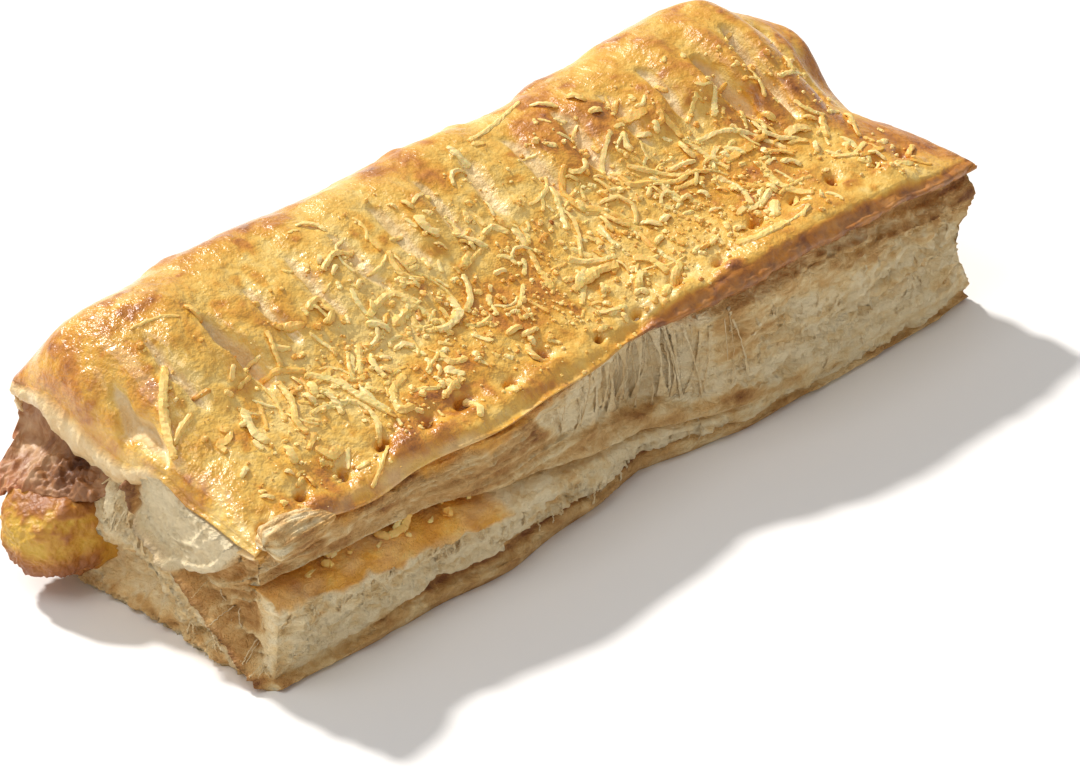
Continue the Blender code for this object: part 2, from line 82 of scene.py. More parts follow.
# lines on the left end, as y, z from its front corner
SHELL_EDGE = ((6, 23.5), (8, 22.4), (11, 18.3), (15, 15.7), (21, 14.0), (27, 13.7), (30, 20.0), (31, 25))
STRIP_LINE = (
    (0, -1.5), (3, 1.5), (8, 4.6), (13, 8.0), (18, 12.0), (24, 15.5), (29, 18.5), (31.5, 22.0), (32.5, 25.0),
)


def smooth(at, low, high):
    """0 below low, 1 above high, and between them three times the square less twice the cube."""
    share = np.clip((np.asarray(at, float) - low) / (high - low), 0.0, 1.0)
    return share * share * (3.0 - 2.0 * share)


def until(at, low, high):
    """1 below low and 0 above high: what smooth leaves."""
    return 1 - smooth(at, low, high)


def span(at, start, full, fade, end):
    """0 up to start, 1 from full to fade and 0 again from end on."""
    return smooth(at, start, full) * until(at, fade, end)


def bump(at, middle, half):
    """The bell curve: e to minus the square of the distance from the middle over half."""
    return np.exp(-(((np.asarray(at, float) - middle) / half) ** 2))


def through(at, *knots):
    """A cubic curve through (position, value) knots, with each knot's slope from its neighbours."""
    spots, values = (np.array(k, float) for k in zip(*knots))
    slopes = np.gradient(values, spots)
    slopes[0] = slopes[-1] = 0.0
    at = np.clip(np.asarray(at, float), spots[0], spots[-1])
    i = np.clip(np.searchsorted(spots, at, side="right") - 1, 0, len(spots) - 2)
    step = spots[i + 1] - spots[i]
    s = (at - spots[i]) / step
    return (
        (2 * s**3 - 3 * s**2 + 1) * values[i]
        + (s**3 - 2 * s**2 + s) * step * slopes[i]
        + (3 * s**2 - 2 * s**3) * values[i + 1]
        + (s**3 - s**2) * step * slopes[i + 1]
    )


def lumps(points, cell, seed):
    """Value noise from -1 to 1: a random number at each corner of a lattice of cells, blended by
    the smooth step of the place inside the cell."""
    spot = np.asarray(points, float) / np.asarray(cell, float)
    low = np.floor(spot).astype(np.int64)
    part = spot - low
    part = part * part * (3 - 2 * part)
    total = np.zeros(part.shape[:-1])
    for corner in np.ndindex(2, 2, 2):
        at = low + corner
        mixed = at[..., 0] * 73856093 ^ at[..., 1] * 19349663 ^ at[..., 2] * 83492791 ^ seed * 2654435
        mixed = (mixed ^ (mixed >> 13)) * 1274126177 & 0x7FFFFFFF
        mixed = mixed ^ (mixed >> 15)
        weight = np.prod(np.where(corner, part, 1 - part), axis=-1)
        total += weight * ((mixed & 0xFFFF) / 32767.5 - 1)
    return total


def cloud(points, cell, seed, octaves=3):
    """Lumps on lumps: each octave half the size and 0.55 the height of the one before."""
    cell = np.asarray(cell, float)
    return sum(0.55**k * lumps(points, cell / 2**k, seed + 11 * k) for k in range(octaves))


def crease(points, cell, seed):
    """Thin ridges, 1 on the line where the lumps cross zero and falling to 0 beside it."""
    return np.clip(1 - 3.2 * np.abs(lumps(points, cell, seed)), 0, 1)


def front_face(x):
    """The front bellies out over its left half and is pinched in past the middle."""
    belly = -1.6 * bump(x, 22, 18) - 2.6 * bump(x, 47, 11)
    return belly + 2.6 * bump(x, 84, 9) - 1.1 * span(x, 95, 108, 150, 161)


def back_face(x):
    return WIDTH + 0.4 * np.sin(np.asarray(x) / 19.0) - 0.3 * np.sin(np.asarray(x) / 7.0)


def crust_height(x, across):
    """Height of the crust: a cross section from the front lip (0) over the hump to the back (1),
    lowered at the middle of its length and rounded down to each end's own edge line."""
    x = np.asarray(x, float)
    middle = through(
        across,
        (0, 28.8), (0.03, 30.2), (0.13, 31.2), (0.24, 32.2), (0.33, 33.8), (0.42, 36.4), (0.52, 39.8),
        (0.61, 42.6), (0.71, 44.6), (0.79, 45.2), (0.86, 44.2), (0.915, 41.6), (0.955, 38.2), (0.985, 35.0),
        (1, 33.0),
    )
    swell = through(x, (0, 1.0), (56, 1.0), (90, 0.9), (110, 0.91), (130, 1.0), (142, 1.0), (158, 0.9))
    middle = np.where(middle > 31, 31 + (middle - 31) * swell, middle)
    lip = through(
        x,
        (0, 26.5), (12, 25.6), (22, 24.4), (32, 26.0), (60, 26.6), (82, 26.4), (96, 27.6), (112, 28.9),
        (136, 29.2), (150, 28.6), (160, 27.4),
    )
    middle = middle + (lip - 28.8) * until(across, 0.04, 0.3)
    left_edge = through(
        across,
        (0, 25.0), (0.16, 25.9), (0.27, 26.9), (0.36, 29.4), (0.43, 29.6), (0.5, 27.8), (0.6, 28.4),
        (0.73, 31.2), (0.86, 32.4), (1, 30.5),
    )
    right_edge = through(
        across, (0, 27.2), (0.3, 27.4), (0.46, 26.6), (0.54, 29.0), (0.63, 34.6), (0.8, 35.4), (1, 30.0)
    )
    rise_left = np.sqrt(1 - (1 - np.clip(x / 12.0, 0, 1)) ** 2)
    rise_right = 1 - (1 - np.clip((LENGTH - x) / 17.0, 0, 1)) ** 2
    height = left_edge + (middle - left_edge) * rise_left
    return right_edge + (height - right_edge) * rise_right


def front_rows(x):
    """(depth behind the front face, height) of each key row of the front wall, bottom to top:
    base sheet, its crease, lower wall, ledge, seam, upper sheet's edge, hollow, groove and lip."""
    lip_z = crust_height(x, np.zeros_like(x)) - 0.5
    lip_in = through(x, *LIP_IN)
    seam = through(x, *SEAM)
    reach = through(x, *LEDGE_REACH)
    ledge = seam - through(x, *LEDGE_DROP)
    base = through(x, *BASE_TOP)
    wall = ledge - base
    seam_cut = through(x, (0, 2.6), (50, 2.5), (80, 1.7), (100, 1.0), (114, 0.0))
    web = 1.2 * bump(x, 70, 12) + 3.7 * bump(x, 87, 9.0)
    band = 2.4 + 2.2 * bump(x, 72, 16)
    groove = 2.6 * smooth(x, 84, 98) * (1 - 0.7 * smooth(x, 148, 159))
    under = through(x, *UNDER_LIP)
    flush = until(x, 60, 92)
    under = under + (lip_z - 1.3 - under) * until(x, 84, 98)
    low_web = seam + band + 1.4
    high_web = under - 2.2
    zero = np.zeros_like(x)
    rows = [
        (zero + 0.9, zero),
        (zero - 0.3, 0.6 * base),
        (1.0 + 0.08 * wall, base),
        (0.4 + 0.04 * wall, base + 0.25 * wall),
        (zero + 0.7, base + 0.5 * wall),
        (zero + 0.4, base + 0.75 * wall),
        (zero, ledge),
        (0.5 * reach, ledge + 0.65 * (seam - ledge)),
        (reach + seam_cut, seam),
        (reach - 0.5 * smooth(reach, 0, 0.6), seam + 0.9),
        (0.7 * reach + 0.3 * lip_in, seam + band),
        (0.6 * reach + 0.4 * lip_in + web, low_web),
        (0.5 * reach + 0.5 * lip_in + 1.15 * web, low_web + 0.33 * (high_web - low_web)),
        (0.4 * reach + 0.6 * lip_in + 1.1 * web, low_web + 0.67 * (high_web - low_web)),
        (0.3 * reach + 0.7 * lip_in + 0.9 * web, high_web),
        (lip_in + 1.2 - 1.15 * flush + groove, under),
        (lip_in + 1.6 - 0.7 * flush, lip_z - 0.6 - 0.35 * flush),
        (lip_in + 2.4, lip_z - 0.5 * flush),
    ]
    return tuple(np.stack(part, -1) for part in zip(*rows))


def spread_rows(depth, height, count):
    """The key rows' curve, resampled at equal steps of its own length and softened, with the key
    row's number at each new row."""
    step = np.hypot(np.diff(depth, axis=1), np.diff(height, axis=1))
    run = np.concatenate([np.zeros((len(depth), 1)), np.cumsum(step, axis=1)], axis=1)
    run /= run[:, -1:]
    at = np.linspace(0, 1, count)
    k = np.clip((at[None, :, None] >= run[:, None, :]).sum(-1) - 1, 0, depth.shape[1] - 2)
    low = np.take_along_axis(run, k, 1)
    part = (at - low) / (np.take_along_axis(run, k + 1, 1) - low)
    found = []
    for value in (depth, height):
        value = np.take_along_axis(value, k, 1) * (1 - part) + np.take_along_axis(value, k + 1, 1) * part
        value[:, 1:-1] = 0.25 * value[:, :-2] + 0.5 * value[:, 1:-1] + 0.25 * value[:, 2:]
        found.append(value)
    return found[0], found[1], k + part


def left_plan(y, z):
    """x of the left end before its torn forms: bowed out, and drawn in at the mouth's corner."""
    return -0.6 - 1.1 * bump(y, 13, 9) - 0.8 * bump(y, 44, 10) + 2.4 * bump(z, 24, 5) * smooth(y, 49, 58)


def right_plan(y, z):
    """x of the right end: a waist at half height and a slight tip under the lip."""
    calm = until(y, 54, 60)
    waist = 4.0 * bump(z, 12.0, 5.6) * (0.55 + 0.45 * bump(y, 0, 20))
    tip = 1.0 * bump(z, 22.0, 3.0) * until(y, 1, 9)
    return LENGTH + 1.6 - 1.2 * bump(y, 24, 12) + calm * (tip - waist)


def beside(y, z, line):
    """Distance of points from a bent line, which side they are on, and how far along they are."""
    line = np.array(line, float)
    best = np.full(np.shape(y), 1e9)
    side = np.zeros(np.shape(y))
    along = np.zeros(np.shape(y))
    run = 0.0
    for (y0, z0), (y1, z1) in zip(line[:-1], line[1:]):
        dy, dz = y1 - y0, z1 - z0
        length = math.hypot(dy, dz)
        t = np.clip(((y - y0) * dy + (z - z0) * dz) / length**2, 0, 1)
        off_y, off_z = y - y0 - t * dy, z - z0 - t * dz
        gap = np.hypot(off_y, off_z)
        nearer = gap < best
        best = np.where(nearer, gap, best)
        side = np.where(nearer, np.sign(dy * off_z - dz * off_y), side)
        along = np.where(nearer, run + t * length, along)
        run += length
    return best, side, along


def caves(s, z, seed, count, spots, heights, size):
    """Torn hollows between sheets: each deepens upwards to a sharp roof, is a few times as wide
    as it is high, and leans a little."""
    draw = np.random.default_rng(seed)
    deep = np.zeros(np.shape(s))
    for _ in range(count):
        at, roof = draw.uniform(*spots), draw.uniform(*heights)
        wide = draw.uniform(1.2, 5.5) * size
        high = draw.uniform(0.7, 1.9) * size
        lean = draw.uniform(-0.12, 0.12)
        reach = draw.uniform(0.5, 1.7) * size
        up = (z - roof - lean * (s - at) - 0.35 * np.sin((s - at) * 1.7)) / high
        hollow = reach * np.exp(-(((s - at) / wide) ** 4)) * span(up, -1, 0, 0, 0.22)
        deep = np.maximum(deep, hollow)
    return deep


def left_forms(y, z, points):
    """Outward relief and toast of the left end: the pale swollen shell under the crust, the hollow
    below it, whose tan is partly baked colour and partly painted shade, the browned edge of a sheet
    running down to the corner, and open cells. Then where the shell is, and where the dough is stretched to a
    film."""
    gap, side, along = beside(y, z, SHELL_EDGE)
    above = smooth(side * gap, -0.25, 0.55) * span(y, 5, 9, 29.5, 31.5)
    sheets = crease(np.stack([along + 0.6 * gap, gap, 0 * gap], -1), (9.0, 1.5, 1.0), 41)
    pleats = crease(np.stack([along, 0.4 * gap, 0 * gap], -1), (2.6, 6.0, 1.0), 42)
    shell = above * (1.2 - 0.08 * gap + 0.6 * sheets + 0.45 * pleats * bump(gap, 1, 3.4))
    strip_gap, strip_side, strip_along = beside(y, z, STRIP_LINE)
    on_strip = bump(strip_gap, 0, 0.75)
    between = (1 - above) * smooth(strip_side * strip_gap, 0.2, 1.4) * span(y, 2, 7, 28, 31)
    veils = crease(np.stack([along, gap + 0.4 * along, 0 * gap], -1), (5.0, 1.7, 1.0), 44)
    hollow = between * (2.5 - 0.8 * lumps(points, (2.0, 2.6, 7.0), 43) - 1.2 * veils)
    below = smooth(-strip_side * strip_gap, 0.2, 1.2)
    lines = crease(np.stack([strip_along, strip_gap, 0 * gap], -1), (8.0, 1.1, 1.0), 47)
    cell = smooth(1.25 - np.hypot((y - 35.6) / 7.4, (z - 6.6 - 0.1 * (y - 35)) / 4.6), 0, 0.75)
    small = smooth(1.2 - np.hypot((y - 27.0) / 4.2, (z - 4.4) / 1.8), 0, 0.8)
    long = smooth(1.2 - np.hypot((y - 17.0) / 8.0, (z - 3.4 - 0.25 * (17 - y)) / 1.1), 0, 0.8)
    strings = smooth(y, 30.5, 33.5) * span(z, 10.5, 14, 23, 26)
    threads = crease(points, (3.0, 1.5, 8.0), 53)
    mouth = smooth(1.3 - np.hypot((y - 50) / 12.5, (z - 23.8) / 5.2), 0, 0.7)
    base = span(z, 0.2, 1.0, 2.2, 2.9)
    relief = (
        shell - hollow - 2.9 * cell - 1.5 * small - 1.6 * long - 4.6 * mouth + 0.7 * base
        + 2.5 * on_strip * smooth(y, -2, 4) + 2.4 * bump(y, 37.5, 3.4) * bump(z, 14.5, 5.5)
        + strings * (0.9 * threads - 0.3) + below * (0.9 * lines - 0.3) * (1 - cell)
    )
    # The hollow between the shell and the strip is darker: partly baked tan, partly painted shade in the
    # recess.
    toast = (
        0.1 + 0.85 * on_strip * (0.8 + 0.2 * lumps(points, (3, 3, 3), 5)) + between * (0.46 - 0.32 * veils)
        - (0.06 + 0.1 * sheets) * above + 0.22 * base + 0.5 * bump(y, 31.5, 3) * bump(z, 24, 3)
        + below * (0.12 - 0.14 * lines - 0.02 * cell - 0.06 * strings)
    )
    film = np.clip(0.9 * above + 0.3 * strings * (1 - cell), 0, 1)
    return relief, toast, above, film


def mesh_piece(name, points, quads, tris=()):
    """One closed mesh from points in millimetres, with its faces turned outwards by the sign of
    its volume."""
    at = ((np.asarray(points, float).reshape(-1, 3) - FRAME_AT) * 0.001).astype(np.float32)
    quads = np.asarray(quads, np.int64).reshape(-1, 4)
    tris = np.asarray(tris, np.int64).reshape(-1, 3)
    corners = np.concatenate([tris, quads[:, :3], quads[:, [0, 2, 3]]])
    a, b, c = (at[corners[:, k]].astype(float) for k in range(3))
    if np.einsum("ij,ij->i", a, np.cross(b, c)).sum() < 0:
        quads, tris = quads[:, ::-1], tris[:, ::-1]
    mesh = bpy.data.meshes.new(name)
    mesh.vertices.add(len(at))
    mesh.vertices.foreach_set("co", at.ravel())
    loops = np.concatenate([quads.ravel(), tris.ravel()])
    mesh.loops.add(len(loops))
    mesh.loops.foreach_set("vertex_index", loops.astype(np.int32))
    starts = np.concatenate([np.arange(len(quads)) * 4, len(quads) * 4 + np.arange(len(tris)) * 3])
    mesh.polygons.add(len(starts))
    mesh.polygons.foreach_set("loop_start", starts.astype(np.int32))
    mesh.update(calc_edges=True)
    mesh.validate()
    mesh.shade_smooth()
    piece = bpy.data.objects.new(name, mesh)
    bpy.context.scene.collection.objects.link(piece)
    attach(piece, "root")
    return piece


def keep(piece, **values):
    """Stores one number for each point under each name, for the piece's material to read."""
    for name, value in values.items():
        layer = piece.data.attributes.new(name, "FLOAT", "POINT")
        layer.data.foreach_set("value", np.asarray(value, np.float32).ravel())


def sheet_quads(wide, deep, wrap=False):
    """Corner numbers of the quads of a grid with wide columns of deep points each."""
    i = np.arange(wide if wrap else wide - 1)[:, None]
    j = np.arange(deep - 1)[None, :]
    k = (i + 1) % wide
    return np.stack([i * deep + j, k * deep + j, k * deep + j + 1, i * deep + j + 1], -1).reshape(-1, 4)


def outward(points, wrap=False):
    """Unit normals of a grid: the cross product of its steps along and across."""
    along = np.roll(points, -1, 0) - np.roll(points, 1, 0) if wrap else np.gradient(points, axis=0)
    normal = np.cross(along, np.gradient(points, axis=1))
    return normal / np.maximum(np.linalg.norm(normal, axis=-1, keepdims=True), 1e-9)


share = np.linspace(0, 1, DOUGH_ROWS)
spot = np.linspace(0, LENGTH, FRONT_COLUMNS)
front_depth, front_z, front_zone = spread_rows(*front_rows(spot), DOUGH_ROWS)
front_y = front_face(spot)[:, None] + front_depth
spot_back = np.linspace(LENGTH, 0, SIDE_COLUMNS)
back_z = (crust_height(spot_back, np.ones(SIDE_COLUMNS)) - 2.0)[:, None] * share
back_y = back_face(spot_back)[:, None] - 1.0 - 2.6 * until(back_z, 0, 5) - 1.1 * smooth(back_z, 18, 33)
ends = []
for plan, own_front, own_back, steps in ((right_plan, -1, 0, SIDE_COLUMNS), (left_plan, 0, -1, LEFT_COLUMNS)):
    b = np.linspace(0, 1, steps)[:, None]
    near_y, near_z = front_y[own_front], front_z[own_front]
    far_y = back_y[own_back]
    top = crust_height(LENGTH if own_front else 0.0, b[:, 0])[:, None] - 1.0
    level = share + (near_z / near_z[-1] - share) * until(b, 0, 1)
    end_z = top * level
    end_z[0], end_z[-1] = near_z, back_z[own_back]
    end_y = near_y.mean() + b * (far_y.mean() - near_y.mean())
    end_y = end_y + (near_y - near_y.mean()) * (1 - b) ** 5 + (far_y - far_y.mean()) * b**5
    ends.append(np.stack([plan(end_y, end_z), end_y, end_z], -1))
right_end, left_end = ends[0], ends[1][::-1]
walls = []
for at, wall_y, wall_z, left_column, right_column in (
    (spot, front_y, front_z, left_end[-1], right_end[0]),
    (spot_back, back_y, back_z, left_end[0], right_end[-1]),
):
    near_left = np.exp(-at / END_REACH)[:, None]
    near_right = np.exp(-(LENGTH - at) / END_REACH)[:, None]
    wall_x = at[:, None] + near_left * left_column[:, 0] + near_right * (right_column[:, 0] - LENGTH)
    walls.append(np.stack([wall_x, wall_y, wall_z], -1))
front_wall, back_wall = walls
ring = np.concatenate([front_wall[:-1], right_end[:-1], back_wall[:-1], left_end[:-1]])
x, y, z = np.moveaxis(ring, -1, 0)
on_front, on_left, zone = np.zeros_like(x), np.zeros_like(x), np.zeros_like(x)
on_front[: FRONT_COLUMNS - 1] = 1
zone[: FRONT_COLUMNS - 1] = front_zone[:-1]
on_left[1 - LEFT_COLUMNS :] = 1
elsewhere = (1 - on_front) * (1 - on_left)
edge_z = crust_height(np.clip(x, 0, LENGTH), np.clip(y / WIDTH, 0, 1))
open_wall = span(z, 0.3, 1.6, edge_z - 2.2, edge_z - 0.9)
still = 1 - on_front * bump(zone, 8.2, 1.0)
warped = ring + 1.3 * np.stack([lumps(ring, (5, 5, 3.5), seed) for seed in (31, 32, 33)], -1)
sheets = crease(warped, (16.0, 16.0, 1.5), 3) - 0.4
fluff = cloud(warped, (3.4, 3.2, 1.9), 7, 4)
swell = lumps(ring, (12.0, 12.0, 5.0), 9)
fibres = crease(warped, (1.1, 1.1, 11.0), 12) * smooth(lumps(ring, (7, 7, 5), 13), -0.3, 0.5)
holes = smooth(lumps(warped, (2.6, 2.6, 1.5), 14), 0.38, 0.85)
slanted = np.stack([warped[..., 0] + 0.9 * z, warped[..., 1], z - 0.25 * x], -1)
strands = crease(slanted, (3.6, 3.6, 1.5), 18) * smooth(cloud(ring, (11, 9, 6), 19, 2), -0.35, 0.25)
lower_wall = on_front * span(zone, 2.2, 2.9, 5.4, 6.2)
tall_wall = on_front * smooth(x, 96, 106) * span(zone, 9, 10.5, 14.0, 14.8)
web_wall = on_front * span(zone, 10.4, 11.3, 13.8, 14.8) * bump(x, 81, 15)
ragged = lumps(ring, (3.0, 6.0, 6.0), 20) + 0.5 * lumps(ring, (1.2, 3.0, 3.0), 21)
ledge = on_front * smooth(zone + 0.4 * ragged, 5.7, 6.1) * until(zone, 7.8, 8.3)
ledge = ledge * until(x + 2 * ragged, 45, 51)
fold = on_front * span(zone, 5.6, 6.2, 7.7, 8.1) * span(x, 44, 56, 98, 112)
upper_wall = tall_wall * smooth(z - 0.1 * (x - 130), 15.5, 19.5)
band_top = 10.2 + 6.3 * until(x, 50, 66)
edge_band = on_front * smooth(zone, 8.6, 9.2) * until(x, 96, 104) * until(zone, band_top, band_top + 1.2)
base_z = through(x, *BASE_TOP)
base_sheet = until(z, base_z - 0.3, base_z + 0.5) * (1 - on_left)
torn_zone = smooth(cloud(ring, (16, 9, 9), 16, 2), -0.35, 0.35)
right_caves = caves(warped[..., 0], warped[..., 2], 15, 60, (98, 161), (5, 25), 1.3)
hollows = (
    lower_wall * caves(x, z, 5, 60, (2, 100), (3.5, 14), 0.9) + tall_wall * torn_zone * right_caves
    + elsewhere * caves(y, z, 25, 34, (0, 60), (4, 25), 1.2)
)
airy = np.clip(lower_wall + tall_wall + (1 - on_front), 0, 1) * (1 - ledge)
left_relief, left_toast, shell, left_film = left_forms(y, z, ring)
calm = 1 - 0.6 * on_left * shell
left_fade = on_left * span(y, 0.2, 3.0, 57.5, 60.5)
band_lines = crease(np.stack([x, y, z + 0.045 * x], -1), (26.0, 9.0, 1.15), 71) - 0.35
knobs = 0.7 * lumps(ring, (4, 3, 3), 17) + 0.3 * lumps(ring, (1.6, 1.6, 1.6), 23)
relief = open_wall * still * (
    0.30 * sheets * (1 - ledge) * calm + 0.62 * fluff * (1 - 0.7 * ledge) * (1 - 0.4 * edge_band) * calm
    + 0.5 * swell * (1 - left_fade) + 0.75 * edge_band * band_lines + ledge * knobs
    + airy * (0.5 * fibres + 0.55 * strands - 0.9 * holes) * (1 - 0.7 * fold) * (1 - 0.6 * upper_wall) * calm
    + 0.5 * lower_wall * crease(warped, (1.6, 1.6, 9.0), 22) * until(x, 70, 84)
)
relief = (
    relief - hollows - 1.5 * on_front * bump(x, 150.5, 3.24) * bump(z - 0.35 * (x - 150.5), 11, 1.35)
    - 0.9 * web_wall * (lumps(ring, (3.4, 3, 12), 63) - 0.2) + left_fade * left_relief
    - 0.35 * base_sheet * crease(ring, (9, 9, 0.9), 73)
)
near_back = smooth(y, 54, 58) * (1 - on_left)
relief = relief * (1 - 0.6 * bump(x, 161, 3.2) * bump(y, -1, 3.2)) * (1 - 0.8 * near_back)
dough_points = ring + outward(ring, wrap=True) * relief[..., None]
dough_points[..., 2] = np.maximum(dough_points[..., 2], 0.0)
dough_points[:, 0, 2] = 0.0
drip = cloud(ring, (5, 9, 60), 92, 3)
under_lip = 0.8 * on_front * until(edge_z - z + 2.2 * drip, 2.6, 4.6) * until(x, 58, 72)
# In the toast below, the 0.65 line at row 15, in the groove under the right half's lip, is partly browning
# and partly painted shade.
toast = (
    0.11 + 0.20 * cloud(ring, (7, 7, 3.5), 81, 3) + 0.10 * np.clip(relief, -1, 1) * (1 - left_fade)
    + (0.36 - 0.35 * band_lines + 0.12 * lumps(ring, (9, 5, 1.6), 82)) * edge_band + 0.36 * base_sheet
    + 0.30 * on_front * bump(zone, 2.0, 0.35) * smooth(lumps(ring, (9, 9, 9), 83), -0.4, 0.5)
    + 0.34 * tall_wall * smooth(zone, 12.8, 14.2) * smooth(lumps(ring, (14, 9, 9), 84), -0.6, 0.3)
    + 0.65 * on_front * bump(zone, 8.0, 0.28) * smooth(lumps(ring, (12, 9, 20), 85), -0.7, 0.1)
    * until(x, 104, 112) + 0.65 * on_front * bump(zone, 15.0, 0.35) * smooth(x, 80, 96)
    + (0.16 * lumps(warped, (2.2, 2.2, 1.5), 86) - 0.2 * strands + 0.16 * holes) * airy
    + 0.22 * smooth(lumps(ring, (7.0, 7.0, 3.6), 87), 0.1, 0.7) * airy
    - 0.22 * tall_wall * bump(z - 0.16 * (x - 100) - 8.0, 0, 2.4) + 0.12 * upper_wall
    + 0.5 * on_front * bump(zone, 2.0, 0.25) * span(x, 20, 30, 84, 96)
    + 0.95 * on_front * bump(x, 104.5, 4.675) * bump(z, 7.4, 2.21)
    + 0.28 * on_front * bump(x, 114, 5.6) * bump(z, 5.5, 1.44)
    + 0.24 * on_front * smooth(x, 146, 160) * smooth(z, 14, 22) + 0.2 * elsewhere
    - 0.2 * lower_wall * until(x, 90, 104) * smooth(x, 0, 6)
    + (0.12 * on_front * bump(x, 0, 6) + 0.1 * on_left * bump(y, 0, 4)) * until(z, 10, 15)
    + 0.30 * edge_band * smooth(zone, band_top - 2.5, band_top - 0.4) * until(x, 52, 64)
)
toast = toast * (1 - left_fade) + left_fade * (left_toast + 0.1 * fluff)
toast = toast - 0.12 * np.clip(hollows, 0, 1) - 0.12 * web_wall - 0.1 * fibres * airy
columns = len(ring)
bottom, top = columns * DOUGH_ROWS, columns * DOUGH_ROWS + 1
column = np.arange(columns)
beyond = (column + 1) % columns
foot, next_foot, last = column * DOUGH_ROWS, beyond * DOUGH_ROWS, DOUGH_ROWS - 1
base_fan = np.stack([next_foot, foot, 0 * column + bottom], -1)
top_fan = np.stack([foot + last, next_foot + last, 0 * column + top], -1)
dough = mesh_piece(
    "risen_dough",
    np.concatenate([dough_points.reshape(-1, 3), [[80, 30, 0], [80, 30, 24]]]),
    sheet_quads(columns, DOUGH_ROWS, wrap=True),
    np.concatenate([base_fan, top_fan]),
)
keep(
    dough,
    toast=np.append(np.clip(toast, 0, 1), [0.4, 0.4]),
    glaze=np.append(np.clip(ledge * (0.9 + 0.3 * lumps(ring, (4, 4, 2), 91)) + under_lip, 0, 1), [0, 0]),
    film=np.append(np.clip(left_fade * left_film, 0, 1), [0, 0]),
)
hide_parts("pastry")


class Tint:
    """One value in a material. Sums on it add Math nodes, and make() adds any other node."""

    def __init__(self, tree, socket=None):
        self.tree, self.socket = tree, socket

    def make(self, kind, settings, values, output=0):
        """Adds a node: its settings first, ramp stops among them, then each socket's value or link."""
        node = self.tree.nodes.new(kind)
        for name, value in settings.items():
            if name != "stops":
                setattr(node, name, value)
                continue
            while len(node.color_ramp.elements) < len(value):
                node.color_ramp.elements.new(0.5)
            for stop, (position, colour) in zip(node.color_ramp.elements, value):
                stop.position = position
                stop.color = (*colour, 1.0)
        for name, value in values.items():
            if isinstance(value, Tint):
                self.tree.links.new(value.socket, node.inputs[name])
            else:
                node.inputs[name].default_value = value
        return Tint(self.tree, node.outputs[output])

    def maths(self, operation, *values):
        return self.make("ShaderNodeMath", {"operation": operation}, dict(enumerate(values)))

    def __add__(self, other):
        return self.maths("ADD", self, other)

    __radd__ = __add__

    def __mul__(self, other):
        return self.maths("MULTIPLY", self, other)

    __rmul__ = __mul__

    def __sub__(self, other):
        return self.maths("SUBTRACT", self, other)

    def __rsub__(self, other):
        return self.maths("SUBTRACT", other, self)

    def between(self, low, high):
        """0 below low, 1 above high, and straight between."""
        return self.make("ShaderNodeMapRange", {"clamp": True}, {0: self, 1: low, 2: high, 3: 0.0, 4: 1.0})

    def ramp(self, *stops):
        """A colour that runs through (position, colour) stops as this value rises."""
        return self.make("ShaderNodeValToRGB", {"stops": stops}, {"Fac": self}, "Color")


def start_finish(name, roughness, settings):
    """A material, its first Tint and a function that links a Tint to a socket of the shader."""
    material = bpy.data.materials.new(name)
    material.use_nodes = True
    tree = material.node_tree
    shader = tree.nodes["Principled BSDF"]
    shader.inputs["Roughness"].default_value = roughness
    for socket, value in settings.items():
        shader.inputs[socket].default_value = value
    return material, Tint(tree), lambda socket, value: tree.links.new(value.socket, shader.inputs[socket])


def grain(tint, scale, detail=3.0, roughness=0.55, distortion=0.0, stretch=(1.0, 1.0, 1.0)):
    """Noise on the piece's own coordinates, scale times to the metre, squeezed by stretch."""
    place = tint.make("ShaderNodeTexCoord", {}, {}, "Object")
    place = tint.make("ShaderNodeMapping", {}, {"Vector": place, "Scale": stretch})
    values = {"Vector": place, "Scale": scale, "Detail": detail, "Roughness": roughness}
    return tint.make("ShaderNodeTexNoise", {}, {**values, "Distortion": distortion}, "Fac")


def read(tint, name):
    """A number kept on the piece's points."""
    return tint.make("ShaderNodeAttribute", {"attribute_name": name}, {}, "Fac")


def blend_colours(tint, amount, one, other):
    return tint.make("ShaderNodeMix", {"data_type": "RGBA"}, {0: amount, 6: one, 7: other}, 2)


def raise_surface(tint, height, strength, distance):
    values = {"Strength": strength, "Distance": distance, "Height": height}
    return tint.make("ShaderNodeBump", {}, values, "Normal")


dough_finish, tint, link = start_finish("baked_dough", 0.62, {})
fine = grain(tint, 900, 4, 0.6, 0.4, (0.35, 0.35, 1.0))
specks = grain(tint, 260, 3, 0.6)
froth = grain(tint, 520, 5, 0.7, 1.1, (0.6, 0.6, 1.0))
# The toast value carries painted shade too: in the groove under the right half's lip and in the hollow under
# the left end's shell.
browning = read(tint, "toast") + (fine - 0.5) * 0.4 + (specks - 0.5) * 0.45 + (froth - 0.5) * 0.9
pale = browning.ramp(
    (0.0, (0.97, 0.80, 0.50)), (0.22, (0.89, 0.66, 0.33)), (0.46, (0.72, 0.435, 0.16)),
    (0.72, (0.52, 0.255, 0.07)), (1.0, (0.26, 0.095, 0.025)),
)
golden = (specks * 0.5 + grain(tint, 160, 3) * 0.5 + (fine - 0.5) * 0.5).ramp(
    (0.25, (1.0, 0.66, 0.17)), (0.45, (0.95, 0.46, 0.055)), (0.7, (0.66, 0.24, 0.026)),
)
on_ledge = read(tint, "glaze")
filmy = blend_colours(tint, read(tint, "film") * 0.7, pale, (0.80, 0.67, 0.43, 1))
link("Base Color", blend_colours(tint, on_ledge, filmy, golden))
link("Roughness", 0.66 - on_ledge * 0.26 + (fine - 0.5) * 0.2)
thin_layers = grain(tint, 1500, 4, 0.65, 0.3, (0.4, 0.4, 1.0))
layers = thin_layers + grain(tint, 420, 4, 0.65, 0.6, (0.6, 0.6, 1.0)) * 2.2
threads = grain(tint, 1300, 3, 0.6, 0.2, (1.0, 1.0, 0.15))
link("Normal", raise_surface(tint, layers + threads * 0.9 + froth * 1.5, 0.8, 0.0008))
dough.data.materials.append(dough_finish)

